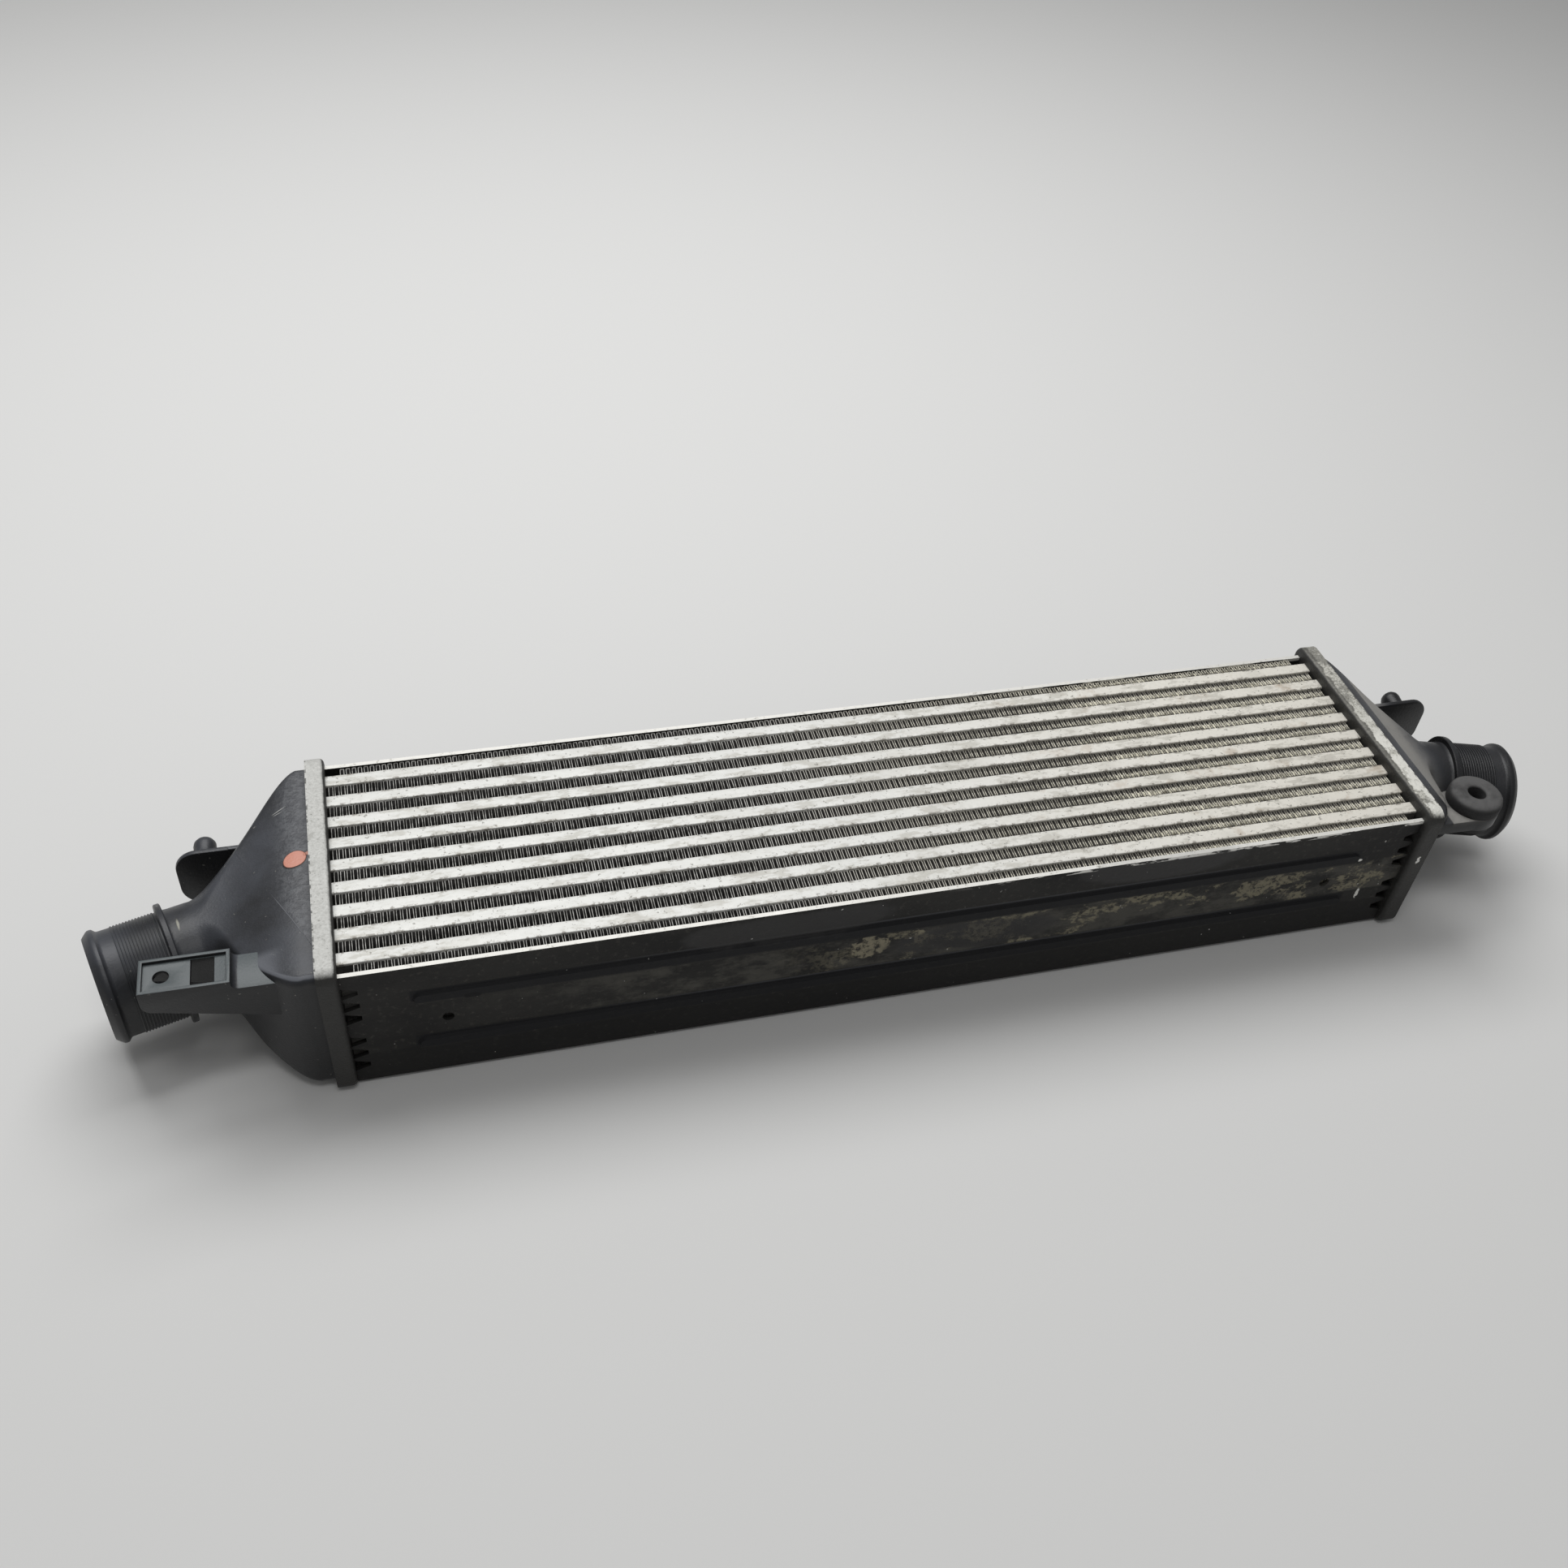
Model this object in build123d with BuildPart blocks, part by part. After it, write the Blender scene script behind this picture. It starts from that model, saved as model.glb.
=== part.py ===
from build123d import *
import os
from math import cos, pi, radians, sin, tan

# Charge air cooler: a brazed aluminium tube and fin core between two crimped header trays,
# each closed by a moulded nylon end tank with a beaded hose spigot.
# Millimetres, +X along the tubes, +Y from the front side plate to the rear one, +Z up.
# Each end is modelled once reaching out along +X, then set against its end of the core.
os.makedirs("parts", exist_ok=True)

# ---- core block
core_length = 600.0
core_depth = 84.0
tube_count = 9
tube_pitch = 15.85
tube_height = 7.2
tube_corner = 2.0
tube_wall = 0.6
side_sheet = 2.5
outer_fin_height = 6.0

# ---- corrugated fins, outside the tubes and inside them
fin_recess = 1.0
fin_sheet = 0.5
fin_legs = 60
inner_row_gap = 1.5
outer_row_gap = 8.0
turbulator_sheet = 0.4
turbulator_legs = 8

# ---- stamped side plates
bead_height = 8.5
bead_end_gap = 33.0
bead_rise = 1.5
bead_spacing = 36.0
bead_slope = 35.0
plate_hole_radius = 3.0
plate_hole_end = 49.5
notch_length = 8.0
notch_mouth = 8.4
notch_slope = 72.0
notch_pitch = 10.0
notches_each_way = 3
notch_middle_gap = 18.0

# ---- pressed header trays
header_overhang = 4.5
core_drop = 2.0
header_sheet = 1.5
header_depth = 10.0
header_corner = 8.0
header_bend = 2.5
tube_standout = 1.5
seal_thickness = 2.5
tab_reach = 2.5
tab_length = 9.0
tab_pitch = 14.6

# ---- end tanks
tank_wall = 2.8
tab_clearance = 0.5
left_straight = 7.0
right_straight = 3.0
funnel_steps = 6
narrowing_start = 0.85
turning_late = 6
rounding_late = 5
sway_early = 1.5
round_share = 0.499
spigot_angle = 16.0
spigot_offset = 16.4
neck_length = 13.0
neck_lip = 0.4
left_ring_reach = 82.4
right_ring_reach = 61.0

# ---- hose spigots
spigot_radius = 28.0
spigot_bore = 25.0
ring_radius = 32.0
ring_thickness = 3.2
spigot_length = 38.0
bead_radius = 30.0
bead_land = 2.4
bead_ramp = 1.6
nose_length = 3.4
nose_radius = 26.8

# ---- rear peg brackets
left_peg_reach = 66.5
right_peg_reach = 63.0
peg_height = 14.0
peg_radius = 6.0
peg_length = 19.0
peg_end_round = 5.0
peg_collar_radius = 8.5
peg_collar_height = 3.0
peg_collar_slope = 25.0
peg_plate_face = 34.5
peg_plate_sheet = 3.0
peg_plate_margin = 14.5
peg_plate_top = 26.0
peg_plate_bottom = -12.0
peg_plate_corner = 12.0

# ---- left mounting arm, an open channel
arm_inset = 10.5
arm_width = 21.5
arm_tip = 91.0
arm_step = 49.0
arm_rim_drop = 5.0
arm_step_drop = 5.5
arm_tip_depth = 13.5
arm_slope = 15.0
arm_tip_corner = 6.0
arm_wall = 2.4
arm_floor = 2.5
channel_depth = 2.5
arm_hole_radius = 3.7
arm_hole_reach = 80.8
arm_window_start = 56.5
arm_window_length = 10.8

# ---- right mounting eye and the rubber grommet pressed into it
eye_reach = 43.2
eye_inset = 18.5
eye_radius = 15.6
eye_drop = 12.5
eye_thickness = 8.5
eye_bore = 12.0
eye_root_width = 23.0
eye_root_reach = 6.0
grommet_hole = 5.0
grommet_cap_radius = 15.6
grommet_cap_height = 8.5
grommet_foot_radius = 14.5
grommet_foot_height = 4.0
grommet_edge = 2.5

# ---- places worked out from the sizes above
tube_row = (tube_count - 1) * tube_pitch
fin_height = tube_pitch - tube_height
core_width = tube_row + tube_height + 2 * (outer_fin_height + side_sheet)
tube_length = core_length + 2 * (header_sheet + tube_standout)
tray_width = core_width + 2 * header_overhang
tray_height = core_depth + 2 * header_overhang
well_width = tray_width - 2 * header_sheet
well_height = tray_height - 2 * header_sheet
well_corner = header_corner - header_sheet
seal_top = header_sheet + seal_thickness
foot_top = header_depth - header_sheet
body_width = well_width - 2 * (tab_reach + tab_clearance)
body_height = well_height - 2 * (tab_reach + tab_clearance)
body_corner = well_corner - (tab_reach + tab_clearance) / 2
spigot_tilt = radians(spigot_angle)
out_x = cos(spigot_tilt)
out_y = -sin(spigot_tilt)
mouth_drop = nose_radius * sin(spigot_tilt)
left_reach = left_ring_reach + spigot_length * out_x + mouth_drop
right_reach = right_ring_reach + spigot_length * out_x + mouth_drop
core_shift = (left_reach - right_reach) / 2
arm_front = tray_width / 2 - arm_inset
arm_rim_top = tray_height / 2 - arm_rim_drop
eye_offset = tray_width / 2 - eye_inset
eye_top = tray_height / 2 - eye_drop


def set_in_core(part):
    """Move a core piece to its place over the floor; the core hangs low between its trays."""
    return Pos(core_shift, 0, tray_height / 2 - core_drop) * part


def set_right(part):
    """Set an end piece, modelled outwards along +X, on the right end of the core."""
    return Pos(core_shift + core_length / 2, 0, tray_height / 2) * part


def set_left(part):
    """Set the mirror image of an end piece on the left end of the core."""
    return Pos(core_shift - core_length / 2, 0, tray_height / 2) * mirror(part, about=Plane.YZ)


def save(part, label):
    """Name one finished piece and write it to its own file."""
    part.label = label
    export_step(part, f"parts/{label}.step")


def wave(length, height, sheet, legs):
    """Closed outline of a folded strip whose crests just touch both neighbours."""
    slope = height * legs / length
    thickness = sheet * (1 + slope**2) ** 0.5
    crest = height / 2
    valley = thickness - height / 2
    top = []
    for fold in range(legs + 1):
        level = crest if fold % 2 == 0 else valley
        top.append((fold * length / legs - length / 2, level))
    bottom = [(across, level - thickness) for across, level in reversed(top)]
    return Polyline(*top, *bottom, close=True)


# ---- tubes: flat folded aluminium, each with a turbulator strip brazed inside
def flat_tube(across):
    """Hollow tube lying along X with its narrow rounded edges up and down."""
    with BuildPart() as tube:
        with BuildSketch(Plane.YZ.offset(-tube_length / 2)):
            with Locations((across, 0)):
                RectangleRounded(tube_height, core_depth, tube_corner)
                RectangleRounded(
                    tube_height - 2 * tube_wall,
                    core_depth - 2 * tube_wall,
                    tube_corner - tube_wall,
                    mode=Mode.SUBTRACT,
                )
        extrude(amount=tube_length)
    return tube.part


def turbulator(across):
    """Corrugated strip that fills a tube from wall to wall."""
    span = core_depth - 2 * tube_corner
    rise = tube_height - 2 * tube_wall
    with BuildPart() as strip:
        middle = Plane(origin=(-core_length / 2, across, 0), x_dir=(0, 0, 1), z_dir=(1, 0, 0))
        with BuildSketch(middle):
            with BuildLine():
                wave(span, rise, turbulator_sheet, turbulator_legs)
            make_face()
        extrude(amount=core_length)
    return strip.part


for row in range(tube_count):
    across = row * tube_pitch - tube_row / 2
    save(set_in_core(flat_tube(across)), f"tube_{row + 1}")
    save(set_in_core(turbulator(across)), f"turbulator_{row + 1}")


# ---- fins: corrugated strips brazed between the tubes and against the side plates
def fin_strip(across, height, end_gap):
    """Folded strip standing on edge, open from top to bottom for the cooling air."""
    span = core_length - 2 * end_gap
    depth = core_depth - 2 * fin_recess
    with BuildPart() as strip:
        with BuildSketch(Plane.XY.offset(-depth / 2)):
            with BuildLine(Location((0, across))):
                wave(span, height, fin_sheet, fin_legs)
            make_face()
        extrude(amount=depth)
    return strip.part


outer_row = tube_row / 2 + tube_height / 2 + outer_fin_height / 2
save(set_in_core(fin_strip(-outer_row, outer_fin_height, outer_row_gap)), "fin_1")
for row in range(1, tube_count):
    across = (row - tube_count / 2) * tube_pitch
    save(set_in_core(fin_strip(across, fin_height, inner_row_gap)), f"fin_{row + 1}")
save(set_in_core(fin_strip(outer_row, outer_fin_height, outer_row_gap)), f"fin_{tube_count + 1}")


# ---- side plates: sheet stiffened by two long beads, with relief notches at both ends
bead_length = core_length - 2 * bead_end_gap
notch_levels = []
for step in range(notches_each_way):
    notch_levels.append(notch_middle_gap / 2 + step * notch_pitch)
    notch_levels.append(-notch_middle_gap / 2 - step * notch_pitch)
hole_places = [(end * (core_length / 2 - plate_hole_end), 0) for end in (-1, 1)]
with BuildPart() as side_plate:
    with BuildSketch(Plane.XZ.offset(core_width / 2 - side_sheet)):
        Rectangle(core_length, core_depth)
    extrude(amount=side_sheet)
    with BuildSketch(Plane.XZ.offset(core_width / 2)):
        with GridLocations(0, bead_spacing, 1, 2):
            SlotOverall(bead_length, bead_height)
    extrude(amount=bead_rise, taper=bead_slope)
    with BuildSketch(Plane.XZ.offset(core_width / 2 - side_sheet)):
        with GridLocations(0, bead_spacing, 1, 2):
            SlotOverall(bead_length - 2 * side_sheet, bead_height - 2 * side_sheet)
    extrude(amount=bead_rise, mode=Mode.SUBTRACT)
    with BuildSketch(Plane.XZ.offset(core_width / 2 - side_sheet)):
        with Locations(*hole_places):
            Circle(plate_hole_radius)
        for end in (-1, 1):
            middle = end * (core_length - notch_length) / 2
            with Locations(*[Location((middle, level), 90 * end) for level in notch_levels]):
                Trapezoid(notch_mouth, notch_length, notch_slope)
    extrude(amount=side_sheet, mode=Mode.SUBTRACT)
save(set_in_core(side_plate.part), "side_plate_front")
save(set_in_core(mirror(side_plate.part, about=Plane.XZ)), "side_plate_rear")

# ---- header tray: pressed sheet with a slot for each tube and tabs crimped over the tank foot
long_tabs = int((well_width - 2 * well_corner - tab_length) / tab_pitch) + 1
short_tabs = int((well_height - 2 * well_corner - tab_length) / tab_pitch) + 1
with BuildPart() as header:
    with BuildSketch(Plane.YZ):
        RectangleRounded(tray_width, tray_height, header_corner)
    extrude(amount=header_depth)
    fillet(header.faces().sort_by(Axis.X)[0].edges(), header_bend)
    with BuildSketch(Plane.YZ.offset(header_sheet)):
        RectangleRounded(well_width, well_height, well_corner)
    extrude(amount=header_depth - header_sheet, mode=Mode.SUBTRACT)
    with BuildSketch(Plane.YZ):
        with Locations((0, -core_drop)):
            with GridLocations(tube_pitch, 0, tube_count, 1):
                RectangleRounded(tube_height, core_depth, tube_corner)
    extrude(amount=header_sheet, mode=Mode.SUBTRACT)
    with BuildSketch(Plane.YZ.offset(foot_top)):
        with GridLocations(tab_pitch, well_height - tab_reach, long_tabs, 2):
            Rectangle(tab_length, tab_reach)
        with GridLocations(well_width - tab_reach, tab_pitch, 2, short_tabs):
            Rectangle(tab_reach, tab_length)
    extrude(amount=header_depth - foot_top)
save(set_left(header.part), "header_plate_left")
save(set_right(header.part), "header_plate_right")

# ---- seal: rubber frame squeezed between the tray floor and the tank foot
seal_width = (well_height - core_depth) / 2 - core_drop
with BuildPart() as seal:
    with BuildSketch(Plane.YZ.offset(header_sheet)):
        RectangleRounded(well_width, well_height, well_corner)
        RectangleRounded(
            well_width - 2 * seal_width,
            well_height - 2 * seal_width,
            well_corner - seal_width,
            mode=Mode.SUBTRACT,
        )
    extrude(amount=seal_thickness)
save(set_left(seal.part), "tank_seal_left")
save(set_right(seal.part), "tank_seal_right")


# ---- end tanks: moulded nylon funnels from a flat foot to a round hose spigot
def funnel(straight, ring_reach, inset):
    """Smooth blend from the foot's rounded rectangle to the spigot's circle, made smaller by inset."""
    start_x = foot_top + straight
    end_x = ring_reach - neck_length * out_x
    end_y = -spigot_offset - neck_length * out_y
    across = 2 * (spigot_radius - neck_lip - inset)
    with BuildPart() as blend:
        for step in range(funnel_steps + 1):
            along = step / funnel_steps
            ease = (1 - cos(pi * along**narrowing_start)) / 2
            turn = spigot_tilt * ease**turning_late
            sway = 1 - (1 - along) ** sway_early
            place = (start_x + (end_x - start_x) * along, end_y * sway, 0)
            station = Plane(origin=place, x_dir=(sin(turn), cos(turn), 0), z_dir=(cos(turn), -sin(turn), 0))
            wide = (body_width - 2 * inset) * (1 - ease) + across * ease
            tall = (body_height - 2 * inset) * (1 - ease) + across * ease
            roundness = ease**rounding_late
            corner = (body_corner - inset) * (1 - roundness) + round_share * across * roundness
            with BuildSketch(station):
                RectangleRounded(wide, tall, corner)
        loft()
    return blend.part


def spigot(ring_reach):
    """Neck, stop ring and beaded hose end, turned about the spigot's own axis."""
    middle = Plane(origin=(ring_reach, -spigot_offset, 0), x_dir=(out_x, out_y, 0), z_dir=(0, 0, 1))
    land_end = spigot_length - nose_length
    land_start = land_end - bead_land
    with BuildPart() as turned:
        with BuildSketch(middle):
            with BuildLine():
                Polyline(
                    (-neck_length, 0),
                    (-neck_length, spigot_radius),
                    (-ring_thickness / 2, spigot_radius),
                    (-ring_thickness / 2, ring_radius),
                    (ring_thickness / 2, ring_radius),
                    (ring_thickness / 2, spigot_radius),
                    (land_start - bead_ramp, spigot_radius),
                    (land_start, bead_radius),
                    (land_end, bead_radius),
                    (spigot_length, nose_radius),
                    (spigot_length, 0),
                    close=True,
                )
            make_face()
        revolve(axis=Axis(middle.origin, middle.x_dir))
    return turned.part


def tank_outside(straight, ring_reach):
    """Foot, straight wall, funnel and spigot as one solid, before it is hollowed."""
    with BuildPart() as outside:
        with BuildSketch(Plane.YZ.offset(seal_top)):
            RectangleRounded(well_width, well_height, well_corner)
        extrude(amount=foot_top - seal_top)
        with BuildSketch(Plane.YZ.offset(foot_top)):
            RectangleRounded(body_width, body_height, body_corner)
        extrude(amount=straight)
        add(funnel(straight, ring_reach, 0))
        add(spigot(ring_reach))
    return outside.part


def tank_cavity(straight, ring_reach):
    """Everything inside the tank, from the open foot to the spigot mouth."""
    inlet = Plane(origin=(ring_reach, -spigot_offset, 0), x_dir=(0, 0, 1), z_dir=(out_x, out_y, 0))
    with BuildPart() as inside:
        with BuildSketch(Plane.YZ.offset(seal_top)):
            RectangleRounded(
                body_width - 2 * tank_wall, body_height - 2 * tank_wall, body_corner - tank_wall
            )
        extrude(amount=foot_top + straight - seal_top)
        add(funnel(straight, ring_reach, tank_wall))
        with BuildSketch(inlet.offset(-neck_length)):
            Circle(spigot_bore)
        extrude(amount=neck_length + spigot_length)
    return inside.part


def peg_bracket(peg_reach):
    """Flat ear on the rear of a tank, carrying the round peg that drops into a rubber bush."""
    plate_span = peg_reach + peg_plate_margin - foot_top
    plate_rise = peg_plate_top - peg_plate_bottom
    peg_root = -(peg_plate_face + peg_plate_sheet)
    with BuildPart() as bracket:
        with BuildSketch(Plane.XZ.offset(peg_root)):
            with Locations((foot_top + plate_span / 2, (peg_plate_top + peg_plate_bottom) / 2)):
                Rectangle(plate_span, plate_rise)
        extrude(amount=peg_plate_sheet)
        outer_edges = bracket.edges().filter_by(Axis.Y).group_by(Axis.X)[-1]
        fillet(outer_edges, peg_plate_corner)
        peg_axis = Plane(origin=(peg_reach, -peg_root, peg_height), x_dir=(1, 0, 0), z_dir=(0, 1, 0))
        with BuildSketch(peg_axis):
            Circle(peg_collar_radius)
        extrude(amount=peg_collar_height, taper=peg_collar_slope)
        with BuildSketch(peg_axis):
            Circle(peg_radius)
        extrude(amount=peg_length)
        fillet(bracket.faces().sort_by(Axis.Y)[-1].edges(), peg_end_round)
    return bracket.part


arm_middle = -arm_front + arm_width / 2
arm_inner_width = arm_width - 2 * arm_wall
arm_low_top = arm_rim_top - arm_step_drop
arm_tip_bottom = arm_rim_top - arm_tip_depth
arm_root_bottom = arm_tip_bottom - (arm_tip - foot_top) * tan(radians(arm_slope))
channel_floor = arm_rim_top - channel_depth
channel_end = arm_tip - arm_wall
with BuildPart() as left_tank:
    add(tank_outside(left_straight, left_ring_reach))
    add(peg_bracket(left_peg_reach))
    # the arm: a side view with a raised rim beyond the step, drawn out to its width
    with BuildSketch(Plane.XZ.offset(arm_front - arm_width)) as arm_side:
        with BuildLine():
            Polyline(
                (foot_top, arm_root_bottom),
                (foot_top, arm_low_top),
                (arm_step, arm_low_top),
                (arm_step, arm_rim_top),
                (arm_tip, arm_rim_top),
                (arm_tip, arm_tip_bottom),
                close=True,
            )
        make_face()
        fillet(arm_side.vertices().group_by(Axis.X)[-1].sort_by(Axis.Y)[0], arm_tip_corner)
    extrude(amount=arm_width)
    # recessed channel on top, with a bolt hole and a square window through its floor
    with BuildSketch(Plane.XY.offset(channel_floor)):
        with Locations(((arm_step + arm_wall + channel_end) / 2, arm_middle)):
            Rectangle(channel_end - arm_step - arm_wall, arm_inner_width)
    extrude(amount=channel_depth, mode=Mode.SUBTRACT)
    with BuildSketch(Plane.XY.offset(channel_floor - arm_floor)):
        with Locations((arm_hole_reach, arm_middle)):
            Circle(arm_hole_radius)
        with Locations((arm_window_start + arm_window_length / 2, arm_middle)):
            Rectangle(arm_window_length, arm_inner_width)
    extrude(amount=arm_floor, mode=Mode.SUBTRACT)
    # hollow underside between the side walls
    with BuildSketch(Plane.XY):
        with Locations(((arm_step + arm_wall + channel_end) / 2, arm_middle)):
            Rectangle(channel_end - arm_step - arm_wall, arm_inner_width)
    extrude(amount=channel_floor - arm_floor, mode=Mode.SUBTRACT)
    add(tank_cavity(left_straight, left_ring_reach), mode=Mode.SUBTRACT)
save(set_left(left_tank.part), "end_tank_left")

with BuildPart() as right_tank:
    add(tank_outside(right_straight, right_ring_reach))
    add(peg_bracket(right_peg_reach))
    # the eye: a flat arm wrapped around the grommet's bore
    with BuildSketch(Plane.XY.offset(eye_top - eye_thickness)):
        with Locations((eye_reach, -eye_offset)):
            Circle(eye_radius)
        with Locations((foot_top + eye_root_reach / 2, (eye_root_width - body_width) / 2)):
            Rectangle(eye_root_reach, eye_root_width)
        make_hull()
        with Locations((eye_reach, -eye_offset)):
            Circle(eye_bore, mode=Mode.SUBTRACT)
    extrude(amount=eye_thickness)
    add(tank_cavity(right_straight, right_ring_reach), mode=Mode.SUBTRACT)
save(set_right(right_tank.part), "end_tank_right")

# ---- grommet: rubber bush with a thick cap above the eye and a thinner foot below it
with BuildPart() as grommet:
    with Locations((eye_reach, -eye_offset, eye_top)):
        Cylinder(grommet_cap_radius, grommet_cap_height, align=(Align.CENTER, Align.CENTER, Align.MIN))
    fillet(grommet.faces().sort_by(Axis.Z)[-1].edges(), grommet_edge)
    with Locations((eye_reach, -eye_offset, eye_top)):
        Cylinder(eye_bore, eye_thickness, align=(Align.CENTER, Align.CENTER, Align.MAX))
    with Locations((eye_reach, -eye_offset, eye_top - eye_thickness)):
        Cylinder(grommet_foot_radius, grommet_foot_height, align=(Align.CENTER, Align.CENTER, Align.MAX))
    with Locations((eye_reach, -eye_offset, eye_top + grommet_cap_height)):
        Hole(grommet_hole)
save(set_right(grommet.part), "mounting_grommet")
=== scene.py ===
import bmesh
import bpy
from math import atan2, cos, pi, radians, sin, tan
from mathutils import Matrix, Vector, noise


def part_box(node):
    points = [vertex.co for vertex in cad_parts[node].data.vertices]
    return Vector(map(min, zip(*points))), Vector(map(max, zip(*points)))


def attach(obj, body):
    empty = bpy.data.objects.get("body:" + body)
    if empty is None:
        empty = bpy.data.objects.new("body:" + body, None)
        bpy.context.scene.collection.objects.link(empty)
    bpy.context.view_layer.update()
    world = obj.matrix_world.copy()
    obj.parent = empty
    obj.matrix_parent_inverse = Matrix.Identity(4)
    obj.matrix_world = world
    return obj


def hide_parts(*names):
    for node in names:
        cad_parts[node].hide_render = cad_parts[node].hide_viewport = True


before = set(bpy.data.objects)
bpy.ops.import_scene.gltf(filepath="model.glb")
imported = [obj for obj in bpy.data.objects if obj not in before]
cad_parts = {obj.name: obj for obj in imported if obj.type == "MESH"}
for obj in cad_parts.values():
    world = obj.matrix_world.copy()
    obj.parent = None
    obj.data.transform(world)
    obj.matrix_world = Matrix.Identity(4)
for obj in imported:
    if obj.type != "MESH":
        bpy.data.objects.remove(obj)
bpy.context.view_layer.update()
mm = 0.001

# ---- tubes: nine flat tubes folded from clad aluminium strip and brazed into the header trays.
# Their narrow noses are matt and pale, pitted by stones, with brown stains towards the right end.


class Finish:
    """A material mixed from places on the piece, noise and soft-edged patches, all in metres."""

    def __init__(self, name):
        self.material = bpy.data.materials.new(name)
        self.material.use_nodes = True
        self.tree = self.material.node_tree
        self.tree.nodes.clear()
        coordinates = self.node("ShaderNodeTexCoord")
        self.place = coordinates.outputs["Object"]
        self.x, self.y, self.z = self.node("ShaderNodeSeparateXYZ", self.place).outputs
        facing = self.node("ShaderNodeSeparateXYZ", coordinates.outputs["Normal"])
        self.facing_z = facing.outputs["Z"]

    def feed(self, socket, value):
        if isinstance(value, bpy.types.NodeSocket):
            self.tree.links.new(value, socket)
        else:
            socket.default_value = value

    def node(self, kind, *values, **settings):
        made = self.tree.nodes.new(kind)
        for setting, value in settings.items():
            setattr(made, setting, value)
        for socket, value in zip(made.inputs, values):
            self.feed(socket, value)
        return made

    def sum(self, a, b):
        return self.node("ShaderNodeMath", a, b, operation="ADD").outputs[0]

    def times(self, a, b):
        return self.node("ShaderNodeMath", a, b, operation="MULTIPLY").outputs[0]

    def larger(self, a, b):
        return self.node("ShaderNodeMath", a, b, operation="MAXIMUM").outputs[0]

    def rest(self, a):
        return self.node("ShaderNodeMath", 1.0, a, operation="SUBTRACT").outputs[0]

    def within(self, value, pitch):
        """Place inside a repeat of that pitch, from 0 to 1."""
        return self.node("ShaderNodeMath", self.times(value, 1 / pitch), operation="FRACT").outputs[0]

    def frayed(self, value, size, reach, shift=(0, 0, 0)):
        """The value made uneven by noise, by up to half that reach either way."""
        return self.sum(value, self.times(self.sum(self.noise(size, 4.0, 0.65, shift=shift), -0.5), reach))

    def ramp(self, value, low, high):
        """0 below low, 1 above high and smooth between them; low above high turns it round."""
        if low < high:
            return self.node(
                "ShaderNodeMapRange", value, low, high, 0.0, 1.0, interpolation_type="SMOOTHSTEP"
            ).outputs[0]
        return self.rest(self.ramp(value, high, low))

    def between(self, value, low, low_full, high_full, high):
        """1 from low_full to high_full, 0 below low and above high, smooth between them."""
        return self.times(self.ramp(value, low, low_full), self.ramp(value, high, high_full))

    def noise(self, size, detail=3.0, rough=0.55, stretch=(1, 1, 1), shift=(0, 0, 0)):
        """Cloudy pattern, 0 to 1, whose lumps are about that many metres across."""
        moved = self.node("ShaderNodeMapping", self.place, shift, (0, 0, 0), stretch)
        clouds = self.node("ShaderNodeTexNoise", moved.outputs[0])
        clouds.inputs["Scale"].default_value = 0.5 / size
        clouds.inputs["Detail"].default_value = detail
        clouds.inputs["Roughness"].default_value = rough
        return clouds.outputs[0]

    def beyond(self, point, direction, soft):
        """1 on the side of a straight border that the direction points to, 0 on the other."""
        moved = self.node("ShaderNodeVectorMath", self.place, point, operation="SUBTRACT").outputs[0]
        along = self.node("ShaderNodeVectorMath", moved, direction, operation="DOT_PRODUCT")
        away = along.outputs["Value"]
        return self.ramp(away, -soft / 2, soft / 2)

    def spot(self, centre, size, soft=0.5, ragged=0.0, lump=0.004, turn=0.0):
        """Patch of half-sizes round a centre, turned about Z, with a soft and perhaps ragged edge."""
        moved = self.node("ShaderNodeVectorMath", self.place, centre, operation="SUBTRACT").outputs[0]
        moved = self.node("ShaderNodeMapping", moved, (0, 0, 0), (0, 0, -turn)).outputs[0]
        scaled = self.node("ShaderNodeVectorMath", moved, size, operation="DIVIDE").outputs[0]
        away = self.node("ShaderNodeVectorMath", scaled, operation="LENGTH").outputs["Value"]
        if ragged:
            away = self.sum(away, self.times(self.sum(self.noise(lump, 4.0, 0.6), -0.5), ragged))
        return self.ramp(away, 1.0 + soft / 2, 1.0 - soft / 2)

    def mix(self, share, a, b):
        made = self.node("ShaderNodeMix", data_type="RGBA")
        self.feed(made.inputs[0], share)
        self.feed(made.inputs[6], a)
        self.feed(made.inputs[7], b)
        return made.outputs[2]

    def over(self, colour, mask, share, tint):
        """Lay a tint over the colour at that share, where the mask is 1."""
        return self.mix(self.times(mask, share), colour, tint)

    def blend(self, share, a, b):
        made = self.node("ShaderNodeMix", data_type="FLOAT")
        self.feed(made.inputs[0], share)
        self.feed(made.inputs[2], a)
        self.feed(made.inputs[3], b)
        return made.outputs[0]

    def done(self, colour, roughness, metallic=0.0, height=None, depth=0.0002, specular=0.5):
        """Feed the finished patterns to the shader and give back the material."""
        shader = self.node("ShaderNodeBsdfPrincipled")
        self.feed(shader.inputs["Base Color"], colour)
        self.feed(shader.inputs["Roughness"], roughness)
        self.feed(shader.inputs["Metallic"], metallic)
        shader.inputs["Specular IOR Level"].default_value = specular
        if height is not None:
            bump = self.node("ShaderNodeBump")
            bump.inputs["Strength"].default_value = 1.0
            bump.inputs["Distance"].default_value = depth
            self.feed(bump.inputs["Height"], height)
            self.tree.links.new(bump.outputs[0], shader.inputs["Normal"])
        out = self.node("ShaderNodeOutputMaterial")
        self.tree.links.new(shader.outputs[0], out.inputs[0])
        return self.material


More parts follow.
